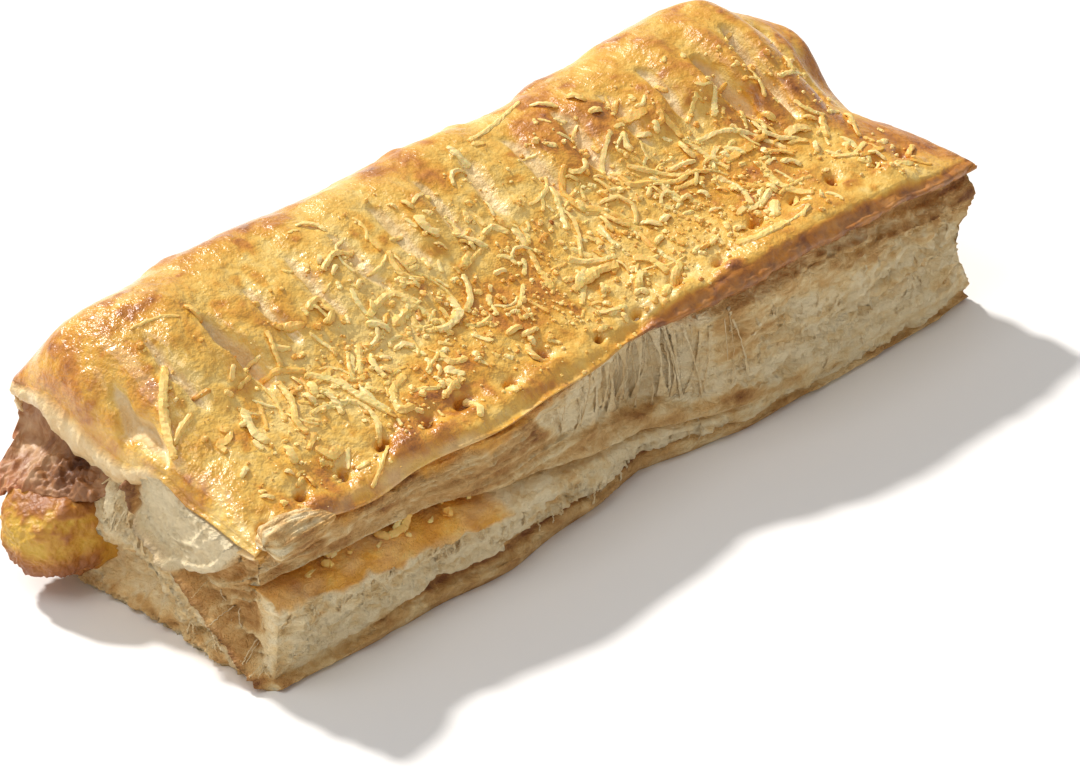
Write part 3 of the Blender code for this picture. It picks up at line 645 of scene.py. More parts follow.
# The crust: the top sheet, egg-washed, slashed across the hump with a knife and pricked along the
# front. It is one closed skin: it rolls over the front lip, covers the hump and the folded back,
# and shows its pale cut edge at the left end.
CRUST_ROWS = 166
BACK_ROWS = 41

# of each cut: middle, how far it leans, centre across, half length, half width and depth
SLASHES = (
    (1.6, -0.9, 0.50, 0.14, 0.85, 2.9), (9.6, 0.1, 0.53, 0.13, 0.95, 1.3), (21.2, 1.1, 0.50, 0.125, 1.5, 3.6),
    (31.0, 0.5, 0.54, 0.11, 0.9, 0.9), (41.3, 0.3, 0.57, 0.12, 1.0, 0.7), (51.2, 0.8, 0.58, 0.11, 1.1, 0.8),
    (61.6, 0.9, 0.59, 0.12, 1.3, 0.9), (72.0, 0.2, 0.60, 0.12, 1.2, 0.8), (82.3, -0.7, 0.60, 0.12, 1.4, 1.0),
    (93.6, 0.4, 0.60, 0.13, 1.5, 1.1), (104.2, -0.5, 0.60, 0.14, 1.5, 1.2),
    (114.0, 0.3, 0.60, 0.11, 1.0, 0.7), (124.0, 0.3, 0.61, 0.10, 1.2, 1.5),
    (134.6, 0.7, 0.54, 0.12, 1.6, 3.4), (143.0, -0.9, 0.54, 0.17, 1.3, 2.6),
    (152.4, -0.4, 0.56, 0.15, 1.1, 1.5),
)
# x, y of each hole pressed along the front lip
PRICKS = (
    (2.2, 6.2), (12.0, 7.6), (21.6, 8.0), (30.2, 8.2), (39.0, 7.0), (47.2, 7.2), (57.0, 6.4), (66.4, 8.0),
    (77.6, 6.2), (86.8, 6.6), (96.0, 7.4), (105.2, 6.2), (116.8, 8.8), (126.2, 8.8), (135.6, 9.0),
    (145.4, 7.8), (153.0, 8.6),
)


def slash_forms(x, across):
    """Each cut is a spindle: it sinks in its middle third, and its lips rise on both sides. Gives
    the relief and how bare the cut is."""
    relief = np.zeros(np.broadcast(x, across).shape)
    bare = np.zeros_like(relief)
    wander = 0.3 * np.sin(across * 31.0) + 0.15 * np.sin(across * 67.0)
    for middle, lean, centre, reach, half, depth in SLASHES:
        run = (across - centre) / reach
        along = np.clip(1 - run**2, 0, 1)
        off = x - middle - wander + lean * run
        wide = half * (0.25 + 0.75 * np.sqrt(along))
        inside = along**0.6 * np.exp(-np.abs(off / wide) ** 3)
        relief += -depth * inside + (0.22 + 0.16 * depth) * along * bump(np.abs(off), wide + 1.6, 1.5)
        bare = np.maximum(bare, smooth(inside, 0.1, 0.55) * (1.0 if depth > 3 else 0.4 + 0.2 * depth))
    return relief, bare


def pillow(x, across):
    """The hump swells between one cut and the next, most near the right end."""
    middles = np.array([row[0] for row in SLASHES])
    phase = np.interp(x, middles, 2 * math.pi * np.arange(len(middles)))
    height = through(x, (0, 0.35), (40, 0.3), (90, 0.35), (120, 0.5), (140, 1.0), (160, 0.8))
    return -height * np.cos(phase) * bump(across, 0.58, 0.19)


def prick_forms(x, y):
    """Round holes pressed along the lip: a narrow pit in a shallow dish."""
    pits = np.zeros(np.broadcast(x, y).shape)
    for i, (at_x, at_y) in enumerate(PRICKS):
        off_x, off_y = x - at_x, y - at_y
        wide, deep = 1.1 + 0.25 * math.sin(5.3 * i), 0.85 + 0.2 * math.sin(3.7 * i)
        gap = np.hypot((off_x - 0.3 * off_y) / wide, off_y / deep)
        pits = pits + (2.3 + 0.8 * math.sin(2.7 * i)) * bump(gap, 0, 0.95) + 0.8 * bump(gap, 0, 2.8)
        pits = pits - 0.6 * bump(off_x, 0, 2.16) * bump(off_y, -2.7, 1.2)
    return pits


# Of each row that turns under an edge: how far in it lies, and its drop as a share of the edge's.
FRONT_ROLL = (
    (9.0, 1.25), (4.0, 1.16), (1.8, 1.07), (0.95, 1.0), (0.6, 0.92), (0.35, 0.8), (0.12, 0.66), (-0.08, 0.5),
    (-0.2, 0.34), (-0.2, 0.17),
)
LEFT_RIM = ((9.0, 1.3), (3.6, 1.12), (1.4, 1.04), (0.2, 0.92), (-0.5, 0.7), (-0.9, 0.45), (-0.7, 0.2))
RIGHT_RIM = ((0.15, 0.3), (0.0, 0.7), (-1.0, 1.0), (-8.0, 1.3))
RIM_BARE = (1, 1, 1, 1, 1, 1, 0.75, 0.25)
left_columns = 12 * (1 - np.cos(np.linspace(0, math.pi / 2, 36)))
crust_spot = np.concatenate([left_columns, np.linspace(12.4, 148, 356), np.linspace(148.4, LENGTH, 32)])
across = np.linspace(0, 1, CRUST_ROWS)
lip_y = front_face(crust_spot) + through(crust_spot, *LIP_IN)
crust_span = back_face(crust_spot) - 0.9 - lip_y
lip_z = crust_height(crust_spot, np.zeros_like(crust_spot))
thick = through(crust_spot, (0, 1.0), (40, 1.0), (84, 1.3), (100, 1.5), (115, 1.6), (143, 1.8), (160, 1.6))
turned_rows = [np.stack([crust_spot, lip_y + dy, lip_z - drop * thick], -1) for dy, drop in FRONT_ROLL]
front_edge = np.stack(turned_rows, 1)
left_x = left_plan(across * WIDTH, crust_height(0.0, across)) + 1.7 * bump(across * WIDTH, 12, 7.5)
right_x = right_plan(across * WIDTH, crust_height(LENGTH, across))
top_x = (
    crust_spot[:, None] + np.exp(-crust_spot / END_REACH)[:, None] * (left_x - 0.5)
    + np.exp(-(LENGTH - crust_spot) / END_REACH)[:, None] * (right_x - LENGTH + 0.3)
)
top_y = lip_y[:, None] + across * crust_span[:, None]
top = np.stack([top_x, top_y, crust_height(crust_spot[:, None], across)], -1)
front_edge[..., 0] = top_x[:, :1]
down = np.linspace(0, 1, BACK_ROWS + 1)[1:]
back_z = top[:, -1:, 2] * (1 - down)
back_y = back_face(crust_spot)[:, None] - 2.4 * until(back_z, 0, 5) - 0.9 * smooth(back_z, 18, 33) + 0.1
tucked = 3.6 * np.exp(-crust_spot / 7.0)[:, None] * bump(back_z, 21, 6.5)
back = np.stack([top_x[:, -1:] + tucked, back_y, back_z], -1)
under = back[:, -1:] + np.array([[0, -2.0, 0.0], [0, -6.0, 0.8]])
skin = np.concatenate([front_edge, top, back, under], 1)
edge_rows = len(FRONT_ROLL)
row = np.arange(skin.shape[1]) - edge_rows

# Both ends turn down over the cut edge of the sheet and in behind it.
band_y = skin[0, :, 1]
band = smooth(band_y, 22, 30) * smooth(skin[0, :, 2], 20, 26)
cut_height = through(band_y, (22, 0.6), (32, 2.6), (40, 4.4), (48, 5.9), (54, 3.0), (59, 1.6), (62, 1.2))
fall = 1.2 + band * cut_height
level = 0 * fall
left_rim = [skin[0] + np.stack([dx + level, level, -drop * fall], -1) for dx, drop in LEFT_RIM]
folded = smooth(row, 155, 172)
sink_y, sink_z = 1.5 * folded, 1.8 * smooth(row, -6, 8) * (1 - folded)
right_rim = [skin[-1] + np.stack([dx + level, -drop * sink_y, -drop * sink_z], -1) for dx, drop in RIGHT_RIM]
skin = np.concatenate([left_rim, skin, right_rim])
x, y, z = np.moveaxis(skin, -1, 0)
rims = (len(LEFT_RIM), len(RIGHT_RIM))
grid_across = np.pad(across, (edge_rows, BACK_ROWS + 2), mode="edge")[None, :]
grid_x = np.pad(crust_spot, rims, mode="edge")[:, None]
row = row[None, :]
on_top = smooth(row, -3, 2)
inner_x = span(grid_x, 0.4, 4, 157, 160)
cuts, bare = slash_forms(grid_x, grid_across)
cut_zone = smooth(grid_x, -1, 1)
pits = prick_forms(x, y) * on_top
waves = 0.75 * cloud(skin, (17, 14, 14), 101, 2) + 0.30 * lumps(skin, (5.0, 5.0, 5.0), 102)
blisters = 0.35 * smooth(lumps(skin, (6.5, 5.5, 6), 103), 0.25, 0.8)
crinkle = 0.06 * (cloud(skin, (1.6, 1.6, 1.6), 104, 2) + crease(skin, (2.4, 8.0, 8.0), 105))
edge_band = np.zeros(skin.shape[:2])
edge_band[: len(RIM_BARE)] = np.array(RIM_BARE)[:, None] * band
# Where the front lip turns down, on its right half. Below, this darkens the crust there: partly the browning
# of the rolled lip, partly painted shade on the lip's face, which turns away from the sun.
lip_turn = smooth(grid_x, 66, 100) * smooth(row, -9, -7)
lip_turn = lip_turn * until(row + 1.5 * lumps(skin, (6, 40, 40), 115), 2, 7)
relief = (
    on_top * (inner_x * (waves + pillow(grid_x, grid_across)) + blisters + crinkle) + cuts * cut_zone - pits
    + edge_band * (0.45 * crease(skin, (9, 9, 0.9), 111) + 0.3 * cloud(skin, (2, 2, 1.2), 112, 3))
    + lip_turn * 0.4 * cloud(skin, (2.6, 1.4, 0.7), 116, 3)
)
skin_points = skin + outward(skin) * relief[..., None]
skin_points[..., 2] = np.maximum(skin_points[..., 2], 0.02)
for end in (0, -1):
    skin_points[end], skin_points[:, end] = skin[end], skin[:, end]
lip_face = until(row + 1.6 * lumps(skin, (4, 40, 40), 114), -6.0, -2.5)
behind_lip = y - np.pad(lip_y, rims, mode="edge")[:, None]
lip_pale = 0.4 * until(behind_lip, 0.2, 3.4) * until(grid_x, 62, 92) * (0.5 + cloud(skin, (7, 3, 3), 113, 2))
bare = bare * cut_zone * on_top + edge_band + lip_pale + 0.5 * lip_face * until(grid_x, 66, 90)
bare = np.clip(bare + 0.2 * lip_turn, 0, 1)
rim_amber = bump(grid_x, 1.5, 3.5) * smooth(grid_across, 0.42, 0.6) + bump(grid_x, 159, 4.0)
patches = smooth(cloud(skin, (15, 11, 11), 121, 3), -0.15, 0.75)
spots = smooth(cloud(skin, (3.4, 3.0, 3.0), 122, 2), 0.35, 0.95)
front_amber = bump(y, 12, 11) * smooth(lumps(skin, (18, 12, 20), 123), -0.4, 0.6)
high = np.clip(relief - 0.45 * waves, -0.6, 0.8)
near_corner = until(grid_x, 32, 60)
corner_patches = smooth(cloud(skin, (8, 6, 9), 124, 2), -0.05, 0.7)
# How brown the crust is: real browning, with painted shade added on the turned-down lip and in the pricked
# holes.
amber = (
    0.04 + 0.13 * smooth(grid_x, 80, 125) + (0.22 + 0.2 * smooth(grid_x, 25, 60)) * patches
    # the pricked holes darken: partly baked colour, partly painted shade in the holes
    + 0.34 * front_amber + 0.26 * rim_amber + 0.34 * spots + 0.3 * high + 0.34 * np.clip(pits - 0.5, 0, 2)
    + (0.22 + 0.1 * bump(grid_x, 28, 14)) * bump(grid_across, 0.76, 0.16) + 0.8 * lip_turn
    + near_corner * (bump(y, 8, 7) * (0.2 + 0.36 * corner_patches) + 0.14 * smooth(grid_across, 0.7, 0.85))
    + smooth(row, 150, 172) * (0.4 - 0.25 * until(z, 2, 14))
)
amber = np.clip(amber, 0, 0.8 + 0.1 * lip_turn)
egg_wash = 0.42 + 0.4 * until(x, 30, 75) - 0.12 * smooth(x, 100, 140) - 0.6 * lip_turn
number = np.arange(x.size).reshape(x.shape)
loop = np.concatenate([number[0], number[1:, -1], number[-1, -2::-1], number[-2:0:-1, 0]])
centre = x.size
crust = mesh_piece(
    "glazed_crust",
    np.concatenate([skin_points.reshape(-1, 3), [[80, 30, 16]]]),
    sheet_quads(*x.shape),
    np.stack([loop, np.roll(loop, -1), 0 * loop + centre], -1),
)
keep(crust, bare=np.append(bare, 1.0), amber=np.append(amber, 0.2), wash=np.append(egg_wash, 0.5))
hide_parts("pastry")

crust_finish, tint, link = start_finish(
    "egg_washed_crust", 0.42, {"Coat Roughness": 0.09, "Coat IOR": 1.5, "Specular IOR Level": 0.6}
)
mottle = grain(tint, 240, 5, 0.62, 0.5)
dots = grain(tint, 620, 3, 0.6)
hairs = grain(tint, 420, 3, 0.6, 0.3, (1.0, 0.25, 0.25))
# The colour ramp below holds painted shade as well as browning: on the turned-down lip and in the pricked
# holes.
shade = read(tint, "amber") + (mottle - 0.5) * 1.0 + (dots - 0.5) * 0.4 + (hairs - 0.5) * 0.25
baked = shade.ramp(
    (0.0, (0.88, 0.62, 0.20)), (0.22, (0.82, 0.50, 0.10)), (0.45, (0.73, 0.365, 0.042)),
    (0.68, (0.58, 0.225, 0.022)), (0.88, (0.41, 0.14, 0.016)), (1.0, (0.24, 0.07, 0.011)),
)
inside_cut = (mottle * 0.6 + dots * 0.4).ramp(
    (0.3, (0.92, 0.76, 0.48)), (0.5, (0.84, 0.62, 0.32)), (0.7, (0.72, 0.46, 0.19)),
)
bareness = (read(tint, "bare") + (dots - 0.5) * 0.3).between(0.15, 0.8)
link("Base Color", blend_colours(tint, bareness, baked, inside_cut))
wash = (read(tint, "wash") + (grain(tint, 95, 3, 0.5) - 0.5) * 1.6 + (dots - 0.5) * 0.5).between(0.1, 0.9)
link("Coat Weight", (1 - bareness * 0.6) * (0.08 + wash * 0.6))
link("Roughness", 0.46 + bareness * 0.22 - wash * 0.24 + (dots - 0.5) * 0.12)
skin_relief = grain(tint, 1100, 3, 0.6) * 1.1 + grain(tint, 480, 3, 0.55, 0.2) * 2.4
skin_relief = skin_relief + grain(tint, 170, 3, 0.55, 0.3) * 3.0
link("Normal", raise_surface(tint, (skin_relief + hairs * 0.4) * (wash + 0.35), 0.42, 0.0006))
crust.data.materials.append(crust_finish)

# The rolled corner: at the front-left corner the bare end of the top sheet curled over into a
# short roll, its thin layers showing as lines along it.
ROLL_LONG, ROLL_Y, ROLL_Z = 15.0, 2.5, 26.4
ROLL_RINGS, ROLL_ROUND = 70, 110


def tube_faces(rings, round_count, first=0):
    """Quads and end fans of a tube of rings, whose two end centres follow its last point."""
    i = np.arange(rings - 1)[:, None] * round_count
    k = np.arange(round_count)[None, :]
    n = (k + 1) % round_count
    quads = np.stack([i + k, i + n, i + round_count + n, i + round_count + k], -1).reshape(-1, 4)
    k, n = k[0], n[0]
    low, high = rings * round_count, rings * round_count + 1
    last = (rings - 1) * round_count
    fans = [np.stack([n, k, 0 * k + low], -1), np.stack([last + k, last + n, 0 * k + high], -1)]
    return quads + first, np.concatenate(fans) + first


def roll_points(run, turn):
    """Rings across the roll: a tilted flat oval that thins and sinks towards its far end, with
    ridges round it where the layers end."""
    x = -0.9 + ROLL_LONG * run
    blunt = np.sqrt(1 - (1 - np.clip(run / 0.1, 0, 1)) ** 2)
    fade = np.sqrt(np.clip(1 - run**2.6, 0, 1)) * blunt
    wide, high = 3.2 * fade + 0.1, 2.1 * fade + 0.1
    ridges = fade * (0.16 * np.sin(9 * turn + 1.2 * np.sin(5 * run)) + 0.10 * np.sin(23 * turn + 4 * run))
    across, up = (wide + ridges) * np.cos(turn), (high + ridges) * np.sin(turn)
    tilt = 0.42
    y = ROLL_Y + across * math.cos(tilt) - up * math.sin(tilt) + 0.5 * run
    z = ROLL_Z + across * math.sin(tilt) + up * math.cos(tilt) - 1.3 * run**2
    return np.stack(np.broadcast_arrays(x + 0.35 * np.cos(3 * turn), y, z), -1)


run, turn = np.linspace(0, 1, ROLL_RINGS), np.linspace(0, 2 * math.pi, ROLL_ROUND, endpoint=False)
roll = roll_points(run[:, None], turn[None, :])
roll += outward(roll) * (0.3 * cloud(roll, (5, 1.6, 1.6), 301, 3))[..., None]
quads, tris = tube_faces(ROLL_RINGS, ROLL_ROUND)
ends = np.stack([roll[0].mean(0), roll[-1].mean(0)])
rolled = mesh_piece("rolled_corner", np.concatenate([roll.reshape(-1, 3), ends]), quads, tris)
layers = 0.42 + 0.16 * np.sin(9 * turn) + 0.3 * cloud(roll, (6, 2, 2), 302, 3)
washed = 0.35 * smooth(roll[..., 0], 5, 13)
keep(rolled, toast=np.append(np.clip(layers, 0, 1), [0.7, 0.4]), glaze=np.append(washed, [0, 0]))
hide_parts("pastry")
rolled.data.materials.append(dough_finish)

# The stretched dough: thin membranes and threads that were pulled out as the sheets parted. They
# cross the cavity under the crust's front lip, the open left end and the torn walls.
THREAD_RINGS, RING_POINTS = 16, 8
# how far in and how far up a web's two ends are set
ROOTS = ((0.1, 0.0), (0.15, 0.0))
MAIN_ROOTS = ((-0.05, 0.2), (0.15, -0.4))
near_front = dough_points[: FRONT_COLUMNS - 1].reshape(-1, 3)
near_left = dough_points[1 - LEFT_COLUMNS :].reshape(-1, 3)


def on_wall(wall, axes, at):
    """The wall's point whose two named coordinates are nearest to at."""
    return wall[np.argmin(((wall[:, axes] - at) ** 2).sum(1))]


def membrane(start, end, wide, waist, thick, bow, flare, draw):
    """A stretched web from start to end: flat rings that narrow to a waist, bowed outwards."""
    t = np.linspace(0, 1, THREAD_RINGS)
    middle = start + (end - start) * t[:, None] + np.asarray(bow) * np.sin(math.pi * t)[:, None]
    middle += draw.normal(0, 0.06, middle.shape)
    along = np.gradient(middle, axis=0)
    along /= np.linalg.norm(along, axis=1, keepdims=True)
    sideways = np.cross(along, flare)
    sideways /= np.linalg.norm(sideways, axis=1, keepdims=True)
    above = np.cross(sideways, along)
    half = 0.5 * wide * (waist + (1 - waist) * np.abs(2 * t - 1) ** 1.8) * (1 + draw.normal(0, 0.08, len(t)))
    turn = np.linspace(0, 2 * math.pi, RING_POINTS, endpoint=False)
    ring = middle[:, None] + half[:, None, None] * np.cos(turn)[None, :, None] * sideways[:, None]
    ring = ring + 0.5 * thick * np.sin(turn)[None, :, None] * above[:, None]
    return np.concatenate([ring.reshape(-1, 3), middle[:1], middle[-1:]])


def add_web(wall, top, low, roots, shape, bow, turn):
    """Adds a membrane of this shape (width, waist, thickness) between the wall's points at top and
    low. A root is how far in and how far up its end sits, and bow how far its middle stands out."""
    along, out = (0, 1) if wall is near_front else (1, 0)
    sideways, inward = np.eye(3)[along], np.eye(3)[out]
    start, end = [
        on_wall(wall, [along, 2], at) + sink * inward + [0, 0, lift]
        for at, (sink, lift) in zip((top, low), roots)
    ]
    points.append(membrane(start, end, *shape, -bow * inward, turn * sideways - inward, draw))


draw = np.random.default_rng(23)
webs = []
# of each main web under the lip: x at its top and at its foot, width, and waist as a share of it
for x_top, x_low, wide, waist in (
    (78.0, 78.5, 3.2, 0.16), (81.6, 82.6, 2.6, 0.14), (85.0, 86.6, 2.2, 0.14), (88.6, 90.4, 2.6, 0.13),
    (92.6, 93.2, 3.0, 0.16), (97.4, 95.4, 3.6, 0.22), (83.6, 81.6, 1.0, 0.14), (90.6, 93.0, 1.1, 0.14),
    (74.0, 74.8, 2.0, 0.3), (87.4, 85.6, 0.9, 0.12),
):
    webs.append(((x_top, 25.0), (x_low, through(x_low, *SEAM) + 5.2), wide, waist))
for _ in range(26):
    x_top = draw.choice([draw.uniform(63, 76), draw.uniform(76, 102)], p=[0.15, 0.85])
    x_low = x_top + draw.normal(0.6, 1.3)
    z_low = through(x_low, *SEAM) + draw.uniform(3.6, 7.5)
    z_top = draw.uniform(20.5, 25.0)
    webs.append(((x_top, z_top), (x_low, z_low), draw.uniform(0.25, 1.3), draw.uniform(0.15, 0.4)))
points = []
for top, low, wide, waist in webs:
    bow = 0.5 + 0.4 * bump(top[0], 87, 9)
    add_web(near_front, top, low, MAIN_ROOTS, (wide, waist, 0.16), bow, 0.25 * draw.normal())
for _ in range(26):
    y_top, z_top = draw.uniform(28, 39), draw.uniform(17, 22.5)
    low = (y_top + draw.uniform(0.5, 3.0), z_top - draw.uniform(3.0, 8.0))
    shape = (draw.uniform(0.3, 1.3), 0.4, 0.16)
    add_web(near_left, (y_top, z_top), low, ROOTS, shape, 0.55, 0.3 * draw.normal())
for _ in range(34):
    y_top, z_top = draw.uniform(1, 20), draw.uniform(3, 13)
    low = (y_top + draw.normal(0, 1.0), z_top - draw.uniform(1.5, 3.5))
    shape = (draw.uniform(0.25, 0.8), 0.4, 0.14)
    add_web(near_left, (y_top, z_top), low, ROOTS, shape, 0.4, 0.3 * draw.normal())
for _ in range(150):
    x_top = draw.uniform(1, 158)
    if x_top < 56:
        z_top = through(x_top, *SEAM) - draw.uniform(3.2, 6.0)
    elif x_top < 100:
        z_top = draw.uniform(4.5, 7.5)
    else:
        z_top = draw.uniform(6, 22)
    long = draw.uniform(1.0, 3.0)
    low = (x_top + draw.normal(0, 0.8), z_top - long)
    shape = (draw.uniform(0.25, 1.1), 0.45, 0.14)
    add_web(near_front, (x_top, z_top), low, ROOTS, shape, 0.35, 0.3 * draw.normal())
thread_quads, thread_tris = tube_faces(THREAD_RINGS, RING_POINTS)
thread_points = len(points[0])
shift = (np.arange(len(points)) * thread_points)[:, None, None]
stretched = mesh_piece(
    "stretched_dough",
    np.concatenate(points),
    (thread_quads[None] + shift).reshape(-1, 4),
    (thread_tris[None] + shift).reshape(-1, 3),
)
pale_threads = np.repeat(draw.uniform(0.0, 0.3, len(points)), thread_points)
keep(stretched, toast=pale_threads, glaze=0 * pale_threads, film=0 * pale_threads + 0.3)
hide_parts("pastry")
stretched.data.materials.append(dough_finish)

# The cheese sauce: a thick filling that runs the length of the parcel. It has swollen out of the
# left end as a blob that browned on its underside and where it met the ham, and stayed yellow
# between.
BLOB_REACH = 12.9
SAUCE_ROUND = 200


def filling_section(x, turn, out):
    """Points round the filling at x: an upright squashed oval that bulges outside the left end
    and closes at its tip, and at its face in the right end. out is added all round."""
    tip = np.clip((x + BLOB_REACH) / BLOB_REACH, 0, 1)
    swell = np.clip(1 - (1 - tip) ** 3.4, 0, 1) ** 0.5
    far = np.sqrt(np.clip(1 - (1 - np.clip((LENGTH - 2.0 - x) / 3.0, 0, 1)) ** 2, 0, 1))
    bulge = bump(x, -6.0, 5.5)
    half_wide = (10.2 - 1.6 * bulge) * swell * far + out
    half_high = (9.0 + 0.4 * bump(x, -3.5, 4.0)) * swell * far + out
    middle_y = 45.6 + 2.4 * until(x, -9, 3)
    cos, sin = np.cos(turn), np.sin(turn)
    outside = until(x, 1, 5)
    middle_z = 12.4 - 0.9 * bump(x, -3.0, 4.0) - 1.5 * until(x, -12.0, -5.0)
    half_wide = half_wide * (1 - outside * np.where(cos < 0, 0.14 + 0.30 * bump(x, 1.5, 4.0), 0) * cos**2)
    half_high = half_high * (1 - outside * np.where(sin > 0, 0.30, 0.06) * sin**2)
    power = 0.84 + 0.14 * outside
    y = middle_y + half_wide * np.sign(cos) * np.abs(cos) ** power
    z = middle_z + half_high * np.sign(sin) * np.abs(sin) ** power
    return np.stack(np.broadcast_arrays(x, y, z), -1)


turn = np.linspace(0, 2 * math.pi, SAUCE_ROUND, endpoint=False)
blob_spot = 13 * (1 - np.cos(np.linspace(0.02, math.pi / 2, 92))) - BLOB_REACH
spot = np.concatenate([blob_spot, np.linspace(4, 157.9, 20)])
sauce = filling_section(spot[:, None], turn[None, :], 0.0)
x, y, z = np.moveaxis(sauce, -1, 0)
bare = until(x, -3, 1)
rind = bare * until(z, 6.0, 11.0) * smooth(-x, 0, 3)
knobs = cloud(sauce, (2.6, 2.6, 2.2), 201, 4)
grit = cloud(sauce, (0.8, 0.8, 0.8), 203, 2)
relief = (
    bare * (0.55 * lumps(sauce, (6, 6, 6), 204) + 0.32 * knobs + 0.10 * grit)
    + rind * (0.25 + 0.5 * knobs + 0.15 * grit)
)
sauce_points = sauce - outward(sauce) * relief[..., None]
sauce_points[..., 2] = np.maximum(sauce_points[..., 2], 0.15)
quads, tris = tube_faces(len(spot), SAUCE_ROUND)
centres = np.stack([sauce_points[0].mean(0) - [0.1, 0, 0], sauce_points[-1].mean(0)])
cheese_sauce = mesh_piece("cheese_sauce", np.concatenate([sauce_points.reshape(-1, 3), centres]), quads, tris)
burnt = (
    0.1 + 0.62 * rind + 0.2 * knobs + 0.5 * smooth(z + 1.6 * knobs, 13.4, 17.6) * bare
    + 0.2 * smooth(y, 54, 62) * until(z, 11, 16) + 0.22 * until(y + 1.5 * knobs, 36, 43)
)
keep(cheese_sauce, toast=np.append(np.clip(burnt, 0, 1), [0.2, 0.2]))
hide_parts("cheese_sauce")

soft_shine = {"Coat Roughness": 0.3, "Coat Weight": 0.08}
sauce_finish, tint, link = start_finish("browned_cheese_sauce", 0.5, soft_shine)
clots = grain(tint, 420, 4, 0.6, 0.4)
beads = grain(tint, 1300, 2, 0.5)
browning = read(tint, "toast") + (clots - 0.5) * 0.55 + (beads - 0.5) * 0.15
sauce_colour = browning.ramp(
    (0.0, (0.64, 0.385, 0.046)), (0.22, (0.57, 0.28, 0.027)), (0.45, (0.45, 0.175, 0.022)),
    (0.7, (0.34, 0.115, 0.022)), (1.0, (0.19, 0.05, 0.014)),
)
link("Base Color", sauce_colour)
link("Roughness", 0.5 + (beads - 0.5) * 0.3)
link("Normal", raise_surface(tint, clots * 1.6 + beads * 0.8, 0.5, 0.0005))
cheese_sauce.data.materials.append(sauce_finish)

# The ham: a thin cooked slice wrapped over the sauce. At the left end it hangs from under the crust
# down to the blob as a wrinkled, darkly baked apron, with a redder torn edge at its outer corner.
APRON_COLUMNS, APRON_ROWS = 150, 96
ARCH_COLUMNS, ARCH_ROWS = 24, 24
side = np.linspace(0, 1, APRON_COLUMNS)
fall_share = np.linspace(0, 1, APRON_ROWS)
apron_y = 30.5 + 30.9 * side
z_top = through(apron_y, (30, 25.5), (36, 25.2), (41, 25.4), (48, 26.4), (54, 29.8), (59, 30.0), (61.5, 28.4))
z_low = through(
    apron_y, (30, 22.4), (34, 21.6), (40, 18.8), (46, 17.2), (52, 17.0), (56, 15.2), (59, 15.6), (61.5, 19.5)
)
x_low = through(
    apron_y, (30, 0.4), (36, -1.4), (42, -4.6), (48, -6.8), (53, -8.2), (57, -9.0), (59.5, -6.2), (61.5, -0.6)
)
x_deep = through(apron_y, (30, 0.2), (36, -0.2), (44, 0.4), (54, 1.4), (59, 1.2), (61.5, 0.8))
start = 0.42 + 0.22 * smooth(apron_y, 50, 57)[:, None]
flow = smooth((fall_share - start) / (1 - start), 0.0, 0.9)
apron_x = 0.6 + (x_deep[:, None] - 0.6) * bump(fall_share, 0.42, 0.3) + (x_low[:, None] - 0.6) * flow
apron_z = z_top[:, None] + (z_low - z_top)[:, None] * fall_share**0.92
apron = np.stack(np.broadcast_arrays(apron_x, apron_y[:, None], apron_z), -1)
folds = crease(apron, (7.0, 2.4, 9.0), 211) - 0.4
tatter = lumps(apron, (2.2, 1.1, 40.0), 212)
crisp = bump(apron[..., 1], 45.0, 7.0) * bump(apron[..., 2], 20.2, 2.4)
apron[..., 2] += (0.8 * tatter * smooth(fall_share, 0.75, 1)[None, :]) * smooth(apron[..., 1], 44, 50)
relief = 0.75 * folds + 0.4 * cloud(apron, (1.8, 1.6, 2.2), 213, 3)
relief = relief + crisp * (0.5 + cloud(apron, (1.3, 1.3, 1.1), 214, 2))
facing = outward(apron)
facing = facing * np.where(facing[..., :1] > 0, -1, 1)
hem = smooth(fall_share, 0.8, 1.0)[None, :, None]
front_sheet = apron + facing * relief[..., None]
back_sheet = front_sheet + np.array([1.9, 0.0, -0.5]) * (1 - 0.35 * hem)
section = np.concatenate([front_sheet, back_sheet[:, ::-1]], 1)
quads, tris = tube_faces(APRON_COLUMNS, 2 * APRON_ROWS)
points = [np.concatenate([section.reshape(-1, 3), section[0].mean(0)[None], section[-1].mean(0)[None]])]
arch = np.radians(np.linspace(18, 168, ARCH_ROWS))[None, :]
spot = np.linspace(4, 156.5, ARCH_COLUMNS)[:, None]
wrap = np.concatenate([filling_section(spot, arch, 2.1), filling_section(spot, arch[:, ::-1], 0.2)], 1)
more_quads, more_tris = tube_faces(ARCH_COLUMNS, 2 * ARCH_ROWS, len(points[0]))
points.append(np.concatenate([wrap.reshape(-1, 3), wrap[0].mean(0)[None], wrap[-1].mean(0)[None]]))
quads, tris = np.concatenate([quads, more_quads]), np.concatenate([tris, more_tris])
ham = mesh_piece("ham", np.concatenate(points), quads, tris)
down = np.concatenate([fall_share, fall_share[::-1]])[None, :]
dark = (
    0.33 + 0.2 * smooth(down, 0.55, 0.95) + 0.34 * np.concatenate([crisp, crisp[:, ::-1]], 1)
    + 0.25 * bump(down, 0.35, 0.3) + 0.2 * cloud(section, (3, 3, 3), 215, 2) - 0.25 * until(down, 0.02, 0.2)
)
red = smooth(down, 0.72, 0.98) * smooth(section[..., 1], 46, 54)
spare = np.full(len(points[1]) + 2, 0.3)
keep(ham, toast=np.append(np.clip(dark, 0, 1), spare), red=np.append(red, spare))
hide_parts("ham")

